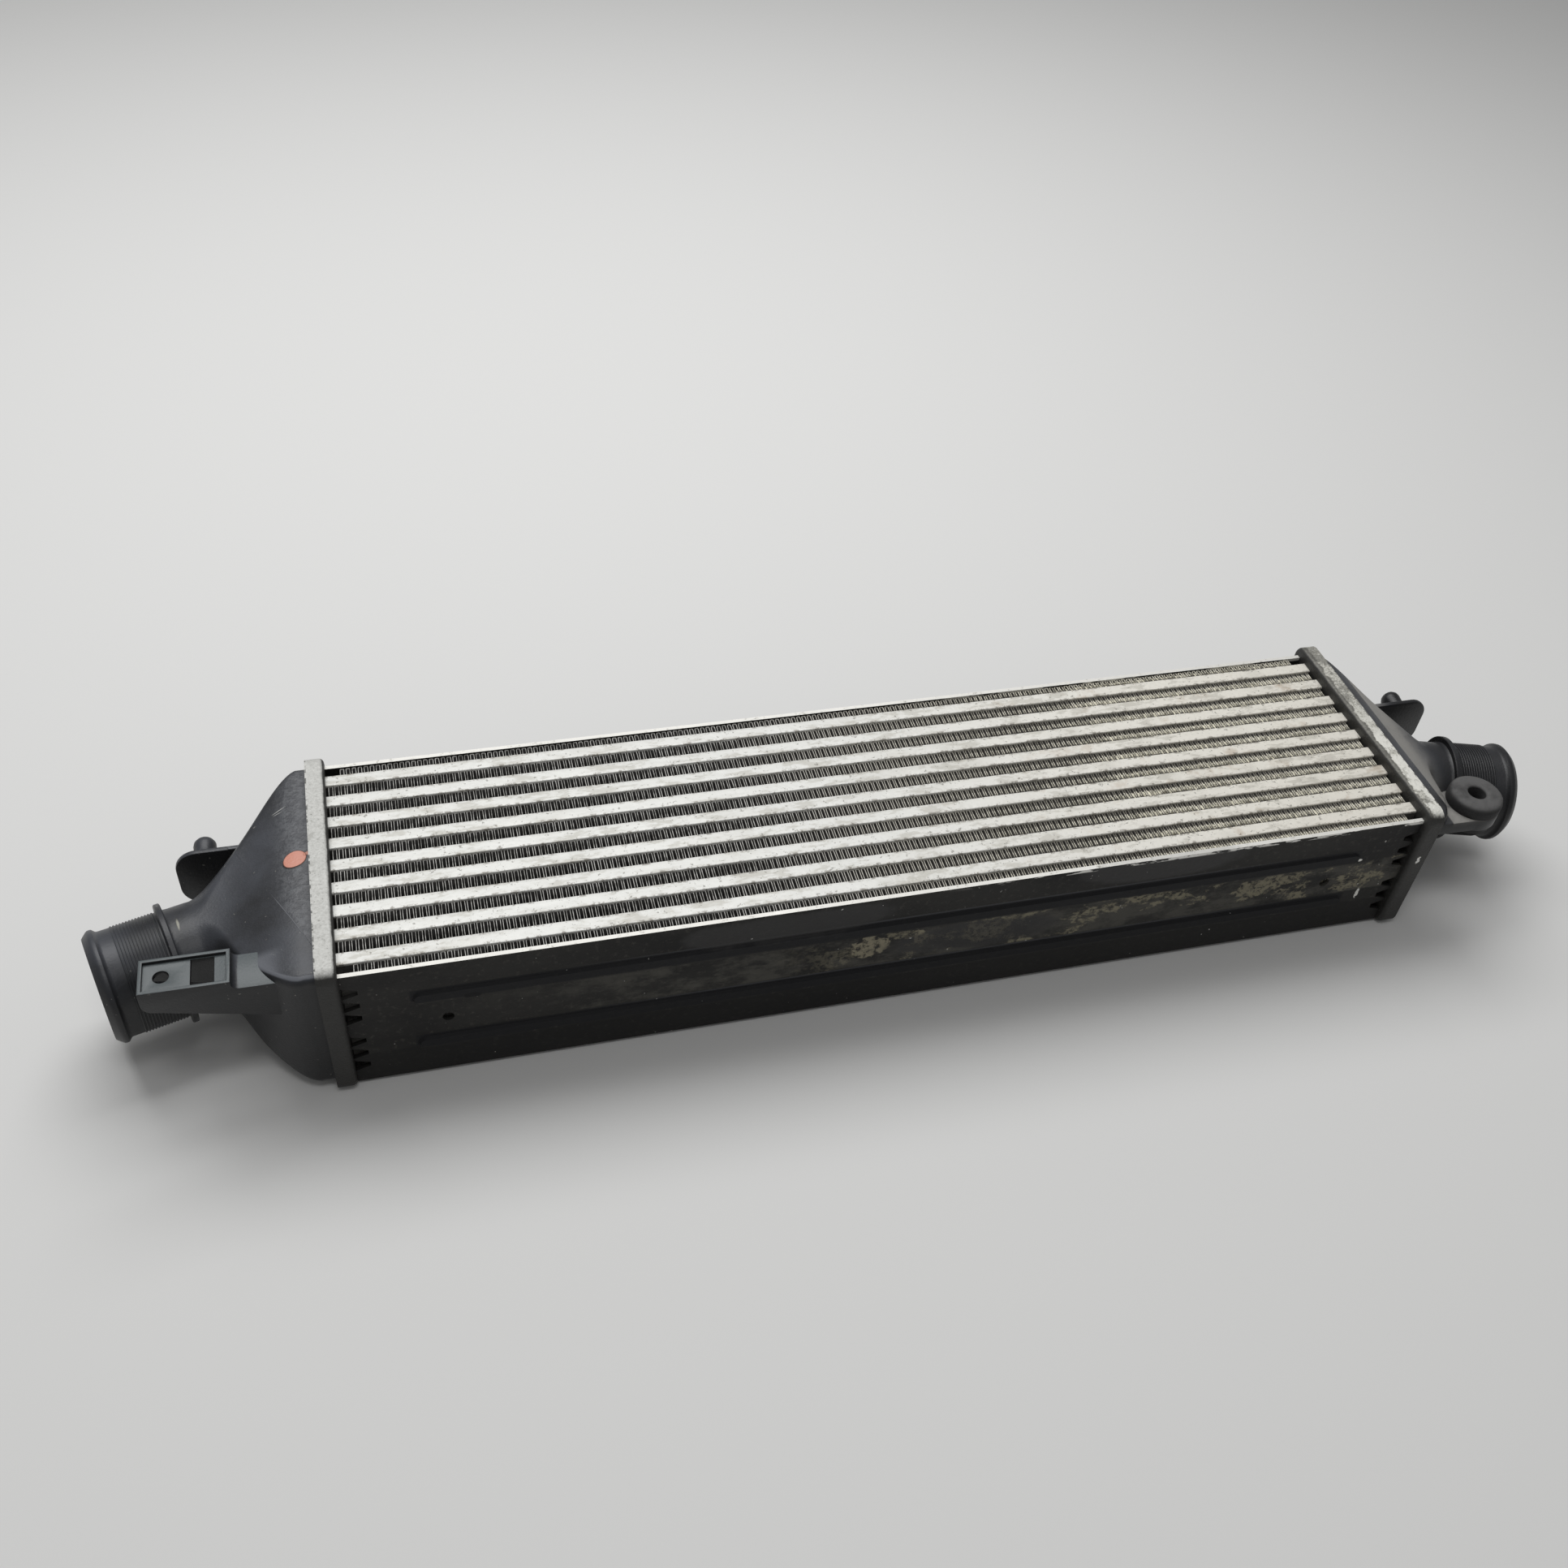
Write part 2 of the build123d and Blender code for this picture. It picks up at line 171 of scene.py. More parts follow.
def dress(node, material):
    """Give a carried-over CAD node its finish."""
    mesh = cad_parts[node].data
    mesh.materials.clear()
    mesh.materials.append(material)


def rounded(wide, tall, corner, arc_steps, wide_steps, tall_steps):
    """Rounded rectangle round its own middle, as a list of places across and up."""
    flat = []
    half_wide, half_tall = wide / 2 - corner, tall / 2 - corner
    hub = [
        (half_wide, half_tall),
        (-half_wide, half_tall),
        (-half_wide, -half_tall),
        (half_wide, -half_tall),
    ]
    for quarter in range(4):
        for step in range(arc_steps + 1):
            angle = pi / 2 * (quarter + step / arc_steps)
            flat.append((hub[quarter][0] + corner * cos(angle), hub[quarter][1] + corner * sin(angle)))
        side_steps = wide_steps if quarter % 2 == 0 else tall_steps
        next_angle = pi / 2 * (quarter + 1)
        leaving = Vector(flat[-1])
        after = hub[(quarter + 1) % 4]
        arriving = Vector((after[0] + corner * cos(next_angle), after[1] + corner * sin(next_angle)))
        for step in range(1, side_steps):
            flat.append(tuple(leaving.lerp(arriving, step / side_steps)))
    return flat


def skin(rings):
    """Closed skin through rings of equal point count, the last joined to the first."""
    made = bmesh.new()
    rows = [[made.verts.new(point) for point in ring] for ring in rings]
    for here, there in zip(rows, rows[1:] + rows[:1]):
        for step in range(len(here)):
            after = (step + 1) % len(here)
            made.faces.new((here[step], here[after], there[after], there[step]))
    return made


def finish_shell(name, made, material, sharp=35):
    """Weld, turn the faces outwards and make the piece."""
    bmesh.ops.remove_doubles(made, verts=made.verts, dist=0.03 * mm)
    bmesh.ops.recalc_face_normals(made, faces=made.faces)
    mesh = bpy.data.meshes.new(name)
    made.to_mesh(mesh)
    made.free()
    for face in mesh.polygons:
        face.use_smooth = True
    mesh.set_sharp_from_angle(angle=radians(sharp))
    mesh.materials.append(material)
    piece = bpy.data.objects.new(name, mesh)
    bpy.context.scene.collection.objects.link(piece)
    return piece


row_pitch = 15.85 * mm
nose_round = 0.5 * mm
nose_spread = 0.3 * mm
tube_sheet = 0.6 * mm
tube_stations = 120
edge_wander = 0.16 * mm
edge_waves = 70
rear_edge_seed, front_edge_seed = 1.7, 6.3
nose_dent = 0.35 * mm
dent_waves = 45
pale_aluminium = (0.73, 0.73, 0.70, 1)
warm_aluminium = (0.86, 0.83, 0.75, 1)
rust_brown = (0.42, 0.30, 0.19, 1)
streak_grey = (0.44, 0.42, 0.36, 1)
smudge_grey = (0.46, 0.44, 0.38, 1)
speck_grey = (0.20, 0.19, 0.165, 1)
crumb_brown = (0.17, 0.15, 0.12, 1)
shade_brown = (0.045, 0.042, 0.037, 1)
tube = Finish("tube nose aluminium")
streaks = tube.noise(0.003, 4.0, 0.7, stretch=(0.35, 1, 1))
towards_right = tube.ramp(tube.x, -0.05, 0.28)
colour = tube.mix(towards_right, pale_aluminium, warm_aluminium)
colour = tube.over(colour, tube.ramp(streaks, 0.50, 0.62), 0.45, streak_grey)
smudges = tube.ramp(tube.noise(0.020, 4.0, 0.65, shift=(0.1, 0.4, 0)), 0.50, 0.72)
colour = tube.over(colour, smudges, 0.28, smudge_grey)
specks = tube.ramp(tube.noise(0.0016, 4.0, 0.7), 0.60, 0.66)
colour = tube.over(colour, specks, 0.7, speck_grey)
stains = tube.ramp(tube.noise(0.012, 4.0, 0.65, shift=(0.3, 0, 0)), 0.56, 0.70)
stains = tube.times(stains, towards_right)
colour = tube.over(colour, stains, 0.45, rust_brown)
in_row = tube.within(tube.y, row_pitch)
rear_edge = tube.between(in_row, 0.13, 0.20, 0.4, 0.5)
front_edge = tube.between(in_row, 0.5, 0.6, 0.80, 0.87)
crumbs = tube.ramp(tube.noise(0.0022, 4.0, 0.75, shift=(0.6, 0, 0)), 0.53, 0.59)
crumbs = tube.times(crumbs, tube.larger(rear_edge, front_edge))
colour = tube.over(colour, crumbs, 0.65, crumb_brown)
nose_bottom, nose_top = (corner.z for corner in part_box("tube_1"))
# Painted shade: the tube sides darken from just below the nose down to just above the bottom.
level = tube.frayed(tube.z, 0.002, 0.0006)
unshaded_rim, dark_from = 0.7 * mm, 1.8 * mm
tube_side_shade = tube.times(
    tube.ramp(level, nose_top - unshaded_rim, nose_top - dark_from),
    tube.ramp(level, nose_bottom + unshaded_rim, nose_bottom + dark_from),
)
colour = tube.over(colour, tube_side_shade, 0.9, shade_brown)
tube_finish = tube.done(
    colour,
    tube.blend(streaks, 0.42, 0.62),
    0.25,
    tube.sum(tube.noise(0.0012, 3.0, 0.6), tube.times(streaks, 1.2)),
    0.0002,
)
for row in range(1, 10):
    low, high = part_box(f"tube_{row}")
    middle = (low + high) / 2
    wide, tall = high.y - low.y, high.z - low.z
    rings = []
    for station in range(tube_stations + 1):
        along = low.x + (high.x - low.x) * station / tube_stations
        ring = []
        for across, up in rounded(wide, tall, nose_round, 3, 4, 1):
            seed = rear_edge_seed if across > 0 else front_edge_seed
            edge = noise.noise(Vector((along * edge_waves, row * 3.1, seed)))
            dent = max(0, noise.noise(Vector((along * dent_waves, row * 5.3, across * 150))) - 0.25)
            if up > 0:
                spread = nose_spread if across > 0 else -nose_spread
                across += (edge_wander * edge + spread) * abs(across) / (wide / 2)
                up -= nose_dent * dent
            ring.append((along, middle.y + across, middle.z + up))
        rings.append(ring)
    for along in (high.x, low.x):
        inner = rounded(wide - 2 * tube_sheet, tall - 2 * tube_sheet, nose_round / 2, 3, 4, 1)
        rings.append([(along, middle.y + across, middle.z + up) for across, up in inner])
    piece = finish_shell(f"tube_skin_{row}", skin(rings), tube_finish, 60)
    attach(piece, "root")
    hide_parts(f"tube_{row}")

# ---- turbulators: corrugated aluminium strip brazed inside each tube to stir the charge air.
# They are hidden, and stay bare and clean.
strip_dark, strip_pale = (0.50, 0.50, 0.49, 1), (0.62, 0.62, 0.60, 1)
strip = Finish("turbulator strip")
grain = strip.noise(0.002, 3.0)
strip_colour = strip.mix(grain, strip_dark, strip_pale)
strip_finish = strip.done(strip_colour, strip.blend(grain, 0.35, 0.5), 0.6, grain)
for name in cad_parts:
    if name.startswith("turbulator_"):
        dress(name, strip_finish)

# ---- fins: ten strips of thin aluminium foil, folded into upright U-shaped corrugations.
# They are brazed between the tubes. Cooling air and road dust come from above, and the dust
# cakes the folds towards the right end.
fold_pitch = 1.6 * mm
foil = 0.36 * mm
fold_round = 0.55 * mm
unevenness = 0.09 * mm
pairing = 0.36 * mm


def new_tree(name, values):
    """Begin a tree with named inputs, at the values they have unless the modifier sets others."""
    tree = bpy.data.node_groups.new(name, "GeometryNodeTree")
    tree.interface.new_socket("Mesh", in_out="OUTPUT", socket_type="NodeSocketGeometry")
    kinds = {int: "NodeSocketInt", float: "NodeSocketFloat", tuple: "NodeSocketVector"}
    for label, value in values.items():
        socket = tree.interface.new_socket(label, in_out="INPUT", socket_type=kinds[type(value)])
        socket.default_value = value
    tree.interface.new_socket("Finish", in_out="INPUT", socket_type="NodeSocketMaterial")
    return tree, tree.nodes.new("NodeGroupInput").outputs


def linked(tree, kind, *values, **settings):
    """Add a geometry node and feed its inputs in order; None leaves one as it is."""
    made = tree.nodes.new(kind)
    for setting, value in settings.items():
        setattr(made, setting, value)
    for socket, value in zip(made.inputs, values):
        if isinstance(value, bpy.types.NodeSocket):
            tree.links.new(value, socket)
        elif value is not None:
            socket.default_value = value
    return made


def close_tree(tree, shape, finish):
    """End a tree: its instances made real, the finish put on and the result given out."""
    real = linked(tree, "GeometryNodeRealizeInstances", shape.outputs[0])
    dressed = linked(tree, "GeometryNodeSetMaterial", real.outputs[0], None, finish)
    linked(tree, "NodeGroupOutput", dressed.outputs[0])


def calculate(tree, operation, a, b=0.0):
    return linked(tree, "ShaderNodeMath", a, b, operation=operation).outputs[0]


def bake_out(name, tree, settings, material):
    """Run a tree on an empty mesh and keep the result as a plain mesh piece."""
    carrier = bpy.data.objects.new(name + "_carrier", bpy.data.meshes.new(name + "_carrier"))
    bpy.context.scene.collection.objects.link(carrier)
    modifier = carrier.modifiers.new("build", "NODES")
    modifier.node_group = tree
    settings = {**settings, "Finish": material}
    for item in tree.interface.items_tree:
        if item.item_type == "SOCKET" and item.in_out == "INPUT" and item.name in settings:
            modifier[item.identifier] = settings[item.name]
    bpy.context.view_layer.update()
    evaluated = carrier.evaluated_get(bpy.context.evaluated_depsgraph_get())
    mesh = bpy.data.meshes.new_from_object(evaluated)
    carrier.modifiers.clear()
    bpy.data.objects.remove(carrier)
    mesh.name = name
    mesh.materials.clear()
    mesh.materials.append(material)
    piece = bpy.data.objects.new(name, mesh)
    bpy.context.scene.collection.objects.link(piece)
    return piece


folds, given = new_tree(
    "folded fin strip",
    {
        "Legs": 370,
        "Pitch": fold_pitch,
        "Row width": 8 * mm,
        "Depth": 80 * mm,
        "Foil": foil,
        "Fold radius": fold_round,
        "Unevenness": unevenness,
        "Pairing": pairing,
        "Seed": 1,
        "Start": (0, 0, 0),
    },
)
count = calculate(folds, "MULTIPLY", given["Legs"], 2.0)
path = linked(folds, "GeometryNodeMeshLine", count, None, given["Start"], (0.001, 0, 0), mode="OFFSET")
index = linked(folds, "GeometryNodeInputIndex").outputs[0]
leg = calculate(folds, "FLOOR", calculate(folds, "DIVIDE", index, 2.0))
side = calculate(folds, "FLOOR", calculate(folds, "DIVIDE", calculate(folds, "ADD", index, 1.0), 2.0))
side = calculate(folds, "SUBTRACT", calculate(folds, "MODULO", side, 2.0), 0.5)
reach = calculate(folds, "SUBTRACT", given["Row width"], given["Foil"])
jitter = linked(folds, "FunctionNodeRandomValue", data_type="FLOAT")
folds.links.new(given["Unevenness"], jitter.inputs[3])
folds.links.new(calculate(folds, "MULTIPLY", given["Unevenness"], -1.0), jitter.inputs[2])
folds.links.new(index, jitter.inputs["ID"])
folds.links.new(given["Seed"], jitter.inputs["Seed"])
along = calculate(folds, "ADD", calculate(folds, "MULTIPLY", leg, given["Pitch"]), jitter.outputs[1])
nearer = calculate(folds, "SUBTRACT", calculate(folds, "MODULO", leg, 2.0), 0.5)
along = calculate(folds, "ADD", along, calculate(folds, "MULTIPLY", nearer, given["Pairing"]))
offset = linked(folds, "ShaderNodeCombineXYZ", along, calculate(folds, "MULTIPLY", side, reach), 0.0)
placed = linked(folds, "ShaderNodeVectorMath", given["Start"], offset.outputs[0], operation="ADD")
path = linked(folds, "GeometryNodeSetPosition", path.outputs[0], None, placed.outputs[0])
path = linked(folds, "GeometryNodeMeshToCurve", path.outputs[0])
path = linked(folds, "GeometryNodeFilletCurve", path.outputs[0], 3, given["Fold radius"], True, mode="POLY")
path = linked(folds, "GeometryNodeSetCurveNormal", path.outputs[0], mode="Z_UP")
section = linked(folds, "GeometryNodeCurvePrimitiveQuadrilateral", given["Foil"], given["Depth"])
solid = linked(folds, "GeometryNodeCurveToMesh", path.outputs[0], section.outputs[0])
solid.inputs["Fill Caps"].default_value = True
close_tree(folds, solid, given["Finish"])

fin_bottom, fin_top = (corner.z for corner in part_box("fin_2"))
shadow_brown = (0.040, 0.033, 0.025, 1)
foil_low, foil_high = (0.20, 0.195, 0.18, 1), (0.62, 0.61, 0.58, 1)
foil_middle = (0.58, 0.56, 0.51, 1)
tan_low, tan_high = (0.34, 0.32, 0.25, 1), (0.84, 0.80, 0.67, 1)
painted_light_tan = (0.90, 0.86, 0.73, 1)
gap_shade_black = (0.014, 0.013, 0.012, 1)


def row_light_and_shade(finish):
    """Masks over one row: painted light from its middle back, painted shadow at its rear, thin painted
    shade at its front.
    """
    in_row = finish.within(finish.y, row_pitch)
    ragged = finish.frayed(in_row, 0.0018, 0.26)
    rear = finish.ramp(finish.sum(ragged, finish.times(finish.x, -0.22)), 0.535, 0.550)
    return finish.ramp(in_row, 0.44, 0.56), rear, finish.ramp(ragged, 0.375, 0.345)


fin = Finish("fin foil")
dusty = fin.ramp(fin.frayed(fin.x, 0.02, 0.10), -0.06, 0.14)
row_painted_light, rear_painted_shadow, front_painted_shade = row_light_and_shade(fin)
dust_tan = fin.mix(fin.ramp(fin.noise(0.0022, 4.0, 0.8), 0.42, 0.58), tan_low, tan_high)
foil_grey = fin.mix(fin.ramp(fin.noise(0.0022, 2.0), 0.3, 0.7), foil_low, foil_high)
foil_grey = fin.mix(fin.ramp(fin.x, -0.10, 0.02), foil_grey, foil_middle)
# Painted light over the rear half of each row, then a painted shadow band at its rear side and a thin
# painted shade line at its front, where the dust lies.
dust_tan = fin.over(dust_tan, row_painted_light, 0.5, painted_light_tan)
colour = fin.mix(dusty, foil_grey, dust_tan)
colour = fin.over(colour, fin.times(rear_painted_shadow, dusty), 0.80, shadow_brown)
colour = fin.over(colour, fin.times(front_painted_shade, dusty), 0.85, shadow_brown)
bright_rim, black_from = 0.05 * mm, 0.7 * mm
# Painted shade: the foil darkens to near black below the fold tops and above their bottoms, down in the
# gaps.
fold_depth_shade = fin.times(
    fin.ramp(fin.z, fin_top - bright_rim, fin_top - black_from),
    fin.ramp(fin.z, fin_bottom + bright_rim, fin_bottom + black_from),
)
colour = fin.over(colour, fold_depth_shade, 0.96, gap_shade_black)
fin_finish = fin.done(colour, 0.55, fin.times(fin.rest(dusty), 0.35), fin.noise(0.0006, 3.0, 0.6), 0.0001)
for row in range(1, 11):
    low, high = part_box(f"fin_{row}")
    legs = int((high.x - low.x) / fold_pitch)
    piece = bake_out(
        f"fin_folds_{row}",
        folds,
        {
            "Legs": legs,
            "Pitch": (high.x - low.x - foil) / (legs - 1),
            "Row width": high.y - low.y,
            "Depth": high.z - low.z,
            "Seed": row,
            "Start": (low.x + foil / 2, (low.y + high.y) / 2, (low.z + high.z) / 2),
        },
        fin_finish,
    )
    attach(piece, "root")
    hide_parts(f"fin_{row}")

# ---- dust cakes: road dust packed between the folds, deep down at the left and nearly level
# with the fold tops at the right.
cake, given = new_tree(
    "packed dust",
    {
        "Size": (0.6, 0.008, 0.06),
        "Middle": (0, 0, 0),
        "Steps": 240,
        "Lumps": 1.4 * mm,
        "Fall": 9 * mm,
        "Rear fall": 1.2 * mm,
        "Full from": 0.16,
        "Bare until": -0.04,
    },
)
block = linked(cake, "GeometryNodeMeshCube", given["Size"], given["Steps"], 9, 2)
block = linked(cake, "GeometryNodeTransform", block.outputs[0])
cake.links.new(given["Middle"], block.inputs["Translation"])
where = linked(cake, "ShaderNodeSeparateXYZ", linked(cake, "GeometryNodeInputPosition").outputs[0])
middle = linked(cake, "ShaderNodeSeparateXYZ", given["Middle"])
on_top = calculate(cake, "GREATER_THAN", where.outputs[2], middle.outputs[2])
lumps = linked(cake, "ShaderNodeTexNoise")
lumps.inputs["Scale"].default_value = 260
lumps.inputs["Detail"].default_value = 3
full = linked(
    cake, "ShaderNodeMapRange", where.outputs[0], given["Bare until"], given["Full from"], 1.0, 0.0
).outputs[0]
rearward = calculate(cake, "SUBTRACT", where.outputs[1], middle.outputs[1])
rearward = linked(cake, "ShaderNodeMapRange", rearward, 1.4 * mm, 3.6 * mm, 0.0, 1.0).outputs[0]
drop = calculate(
    cake,
    "ADD",
    calculate(cake, "MULTIPLY", full, given["Fall"]),
    calculate(cake, "MULTIPLY", lumps.outputs[0], given["Lumps"]),
)
drop = calculate(cake, "ADD", drop, calculate(cake, "MULTIPLY", rearward, given["Rear fall"]))
lower = linked(cake, "ShaderNodeCombineXYZ", 0.0, 0.0, calculate(cake, "MULTIPLY", drop, -1.0))
block = linked(cake, "GeometryNodeSetPosition", block.outputs[0], on_top, None, lower.outputs[0])
block = linked(cake, "GeometryNodeSetShadeSmooth", block.outputs[0])
close_tree(cake, block, given["Finish"])

grain_dark, grain_pale = (0.17, 0.158, 0.115, 1), (0.92, 0.88, 0.71, 1)
painted_light_dust = (0.90, 0.86, 0.72, 1)
damp_brown = (0.18, 0.165, 0.12, 1)
deep_shade = (0.028, 0.026, 0.023, 1)
cake_share = 0.9
cake_sink = 0.3 * mm
end_gap, side_gap = 1 * mm, 0.3 * mm
dust = Finish("packed road dust")
speckle = dust.noise(0.0024, 4.0, 0.8)
row_painted_light, rear_painted_shadow, front_painted_shade = row_light_and_shade(dust)
colour = dust.mix(dust.ramp(speckle, 0.42, 0.58), grain_dark, grain_pale)
# Painted light over the rear half of each row, then a painted shadow band at its rear side and a thin
# painted shade line at its front.
colour = dust.over(colour, row_painted_light, 0.5, painted_light_dust)
colour = dust.over(colour, dust.ramp(dust.noise(0.010, 4.0), 0.45, 0.7), 0.35, damp_brown)
colour = dust.over(colour, dust.larger(rear_painted_shadow, front_painted_shade), 0.9, shadow_brown)
colour = dust.mix(dust.ramp(dust.x, 0.12, -0.02), colour, deep_shade)
dust_finish = dust.done(colour, 0.95, 0.0, speckle, 0.0006, 0.2)
for row in range(1, 11):
    low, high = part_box(f"fin_{row}")
    thick = (high.z - low.z) * cake_share
    piece = bake_out(
        f"packed_dust_{row}",
        cake,
        {
            "Size": (high.x - low.x - 2 * end_gap, high.y - low.y - 2 * side_gap, thick),
            "Middle": ((low.x + high.x) / 2, (low.y + high.y) / 2, high.z - cake_sink - thick / 2),
        },
        dust_finish,
    )
    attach(piece, "root")

# ---- side plates: stamped aluminium sheet, brazed outside the outer fins, with two long beads,
# relief notches at both ends and two jig holes. The outer face is dark, partly with oily road film
# and partly with painted shade, and the sheet's top edge is scuffed bright.
plate_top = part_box("side_plate_front")[1].z
plate_y = -0.077
film_and_shade_dark = (0.010, 0.0097, 0.0095, 1)
film_and_shade_grey = (0.027, 0.026, 0.024, 1)
bead_shade_black = (0.006, 0.0065, 0.0085, 1)
scale_grey = (0.105, 0.100, 0.086, 1)
dried_mud = (0.27, 0.245, 0.17, 1)
grit_grey = (0.13, 0.12, 0.105, 1)
splash_tan = (0.30, 0.27, 0.19, 1)
oil_black = (0.028, 0.027, 0.027, 1)
bead_highlight_grey = (0.070, 0.072, 0.080, 1)
hole_shade_black = (0.004, 0.004, 0.005, 1)
worn_grey = (0.40, 0.39, 0.35, 1)
bright_scuff_and_glint = (0.80, 0.79, 0.75, 1)
plate = Finish("side plate aluminium")
film = plate.noise(0.03, 5.0, 0.6, stretch=(0.45, 1, 1))
# Oily film and painted shade together give the dark base colour.
colour = plate.mix(plate.ramp(film, 0.36, 0.64), film_and_shade_dark, film_and_shade_grey)
grit = plate.noise(0.0018, 4.0, 0.65)
colour = plate.over(colour, plate.ramp(grit, 0.52, 0.75), 0.30, grit_grey)
between_beads = plate.between(plate.z, 0.0330, 0.0345, 0.0585, 0.0605)
crust = plate.ramp(plate.noise(0.007, 5.0, 0.7, stretch=(0.5, 1, 1), shift=(0.04, 0, 0.01)), 0.40, 0.62)
crust = plate.times(plate.times(crust, between_beads), plate.ramp(plate.x, -0.26, -0.12))
colour = plate.over(colour, crust, 0.6, scale_grey)
mud = plate.ramp(plate.noise(0.011, 5.0, 0.68, stretch=(0.7, 1, 1.3), shift=(0.11, 0, 0.03)), 0.52, 0.58)
mud = plate.times(mud, plate.times(between_beads, plate.ramp(plate.x, -0.08, 0.02)))
mud = plate.times(mud, plate.ramp(grit, 0.38, 0.54))
colour = plate.over(colour, mud, 0.75, dried_mud)
for bead_low, bead_high in ((0.0245, 0.0325), (0.0605, 0.0685)):
    # Painted shade darkens each bead groove, and a painted highlight runs along its upper rim.
    bead = plate.between(
        plate.z, bead_low - 0.0006, bead_low + 0.0004, bead_high - 0.0004, bead_high + 0.0006
    )
    bead = plate.times(bead, plate.between(plate.x, -0.2580, -0.2565, 0.2775, 0.2790))
    colour = plate.over(colour, bead, 0.85, bead_shade_black)
    rim_highlight = plate.between(
        plate.z, bead_high - 0.0004, bead_high + 0.0001, bead_high + 0.0007, bead_high + 0.0012
    )
    rim_highlight = plate.times(rim_highlight, plate.between(plate.x, -0.20, -0.08, 0.15, 0.27))
    colour = plate.over(colour, rim_highlight, 0.6, bead_highlight_grey)
colour = plate.over(colour, plate.ramp(plate.z, 0.0245, 0.0232), 0.6, film_and_shade_dark)
splash = plate.spot((-0.016, plate_y, 0.049), (0.009, 0.02, 0.007), 0.2, 2.4, 0.005)
splash = plate.larger(splash, plate.spot((0.012, plate_y, 0.050), (0.004, 0.02, 0.006), 0.2, 2.6, 0.004))
splash = plate.times(splash, plate.ramp(grit, 0.36, 0.56))
colour = plate.over(colour, splash, 0.85, splash_tan)
oil = plate.spot((-0.06, plate_y, 0.075), (0.055, 0.02, 0.010), 0.3, 1.2, 0.02)
oil = plate.larger(oil, plate.spot((0.15, plate_y, 0.082), (0.05, 0.02, 0.012), 0.25, 0.8, 0.02))
oil = plate.larger(oil, plate.spot((0.045, plate_y, 0.046), (0.05, 0.02, 0.011), 0.3, 1.2, 0.02))
colour = plate.over(colour, oil, 0.75, oil_black)
scuff = plate.spot((0.2790, plate_y, 0.0600), (0.0016, 0.01, 0.0010), 0.4, 1.6, 0.001)
scuff = plate.larger(scuff, plate.spot((0.2879, plate_y, 0.0305), (0.0010, 0.01, 0.0042), 0.3, 2.8, 0.0016))
chips = plate.ramp(plate.noise(0.003, 4.0, 0.7, stretch=(0.25, 1, 1)), 0.50, 0.54)
chips = plate.times(chips, plate.ramp(plate.x, 0.02, 0.10))
chips = plate.times(chips, plate.ramp(plate.z, plate_top - 2.6 * mm, plate_top - 1.6 * mm))
scuff = plate.larger(scuff, chips)
nicks = plate.ramp(plate.noise(0.0016, 2.0, 0.5, shift=(0.2, 0, 0.1)), 0.76, 0.79)
scuff = plate.larger(scuff, plate.times(nicks, 0.6))
# Painted shade: a small hole at the upper bead is drawn as a near-black spot.
hole_shade = plate.spot((-0.2268, plate_y, 0.0606), (0.0042, 0.01, 0.0020), 0.3)
colour = plate.mix(hole_shade, colour, hole_shade_black)
colour = plate.mix(scuff, colour, bright_scuff_and_glint)
edge = plate.ramp(plate.z, plate_top - 1 * mm, plate_top - 0.4 * mm)
edge = plate.times(plate.ramp(plate.facing_z, 0.5, 0.8), edge)
worn_edge = plate.mix(plate.ramp(grit, 0.55, 0.75), bright_scuff_and_glint, worn_grey)
colour = plate.mix(edge, colour, worn_edge)
bare = plate.larger(edge, scuff)
plate_finish = plate.done(
    colour,
    plate.blend(oil, plate.blend(film, 0.50, 0.68), 0.30),
    plate.times(bare, 0.4),
    plate.sum(plate.times(film, 2.0), plate.sum(plate.times(grit, 0.5), plate.times(mud, 0.6))),
    0.0003,
    0.25,
)
for name in ("side_plate_front", "side_plate_rear"):
    dress(name, plate_finish)

# ---- header trays: pressed aluminium, slotted for the tubes, with a rim of tabs crimped over
# the foot of each tank. Clean and pale on top at the left, greasy grey at the right.
clean_pale, clean_grey = (0.60, 0.60, 0.575, 1), (0.50, 0.50, 0.475, 1)
blotch_grey = (0.33, 0.325, 0.30, 1)
pore_dark = (0.16, 0.155, 0.14, 1)
greasy_pale, greasy_grey = (0.66, 0.65, 0.59, 1), (0.34, 0.33, 0.29, 1)
bite_dark = (0.17, 0.165, 0.145, 1)
edge_dark = (0.10, 0.097, 0.085, 1)
wiped_pale = (0.84, 0.83, 0.77, 1)
dash_dark = (0.05, 0.05, 0.045, 1)
side_shade_dark, side_shade_grey = (0.013, 0.0125, 0.012, 1), (0.040, 0.039, 0.035, 1)
tray = Finish("header tray aluminium")
lumpy = tray.noise(0.004, 4.0, 0.6)
fine = tray.noise(0.0008, 3.0, 0.7)
clean = tray.mix(tray.ramp(fine, 0.35, 0.65), clean_pale, clean_grey)
clean = tray.over(clean, tray.ramp(lumpy, 0.56, 0.72), 0.45, blotch_grey)
clean = tray.over(clean, tray.ramp(fine, 0.64, 0.70), 0.6, pore_dark)
greasy = tray.mix(tray.ramp(fine, 0.42, 0.64), greasy_pale, greasy_grey)
bites = tray.ramp(tray.noise(0.007, 5.0, 0.75), 0.50, 0.58)
greasy = tray.over(greasy, bites, 0.7, bite_dark)
inner_edge = tray.ramp(tray.frayed(tray.x, 0.0040, 0.008), 0.3144, 0.3134)
greasy = tray.over(greasy, inner_edge, 0.8, edge_dark)
wiped = tray.ramp(tray.frayed(tray.y, 0.006, 0.05), 0.030, -0.020)
wiped = tray.times(wiped, tray.ramp(tray.noise(0.005, 4.0, 0.7), 0.40, 0.52))
greasy = tray.over(greasy, wiped, tray.rest(inner_edge), wiped_pale)
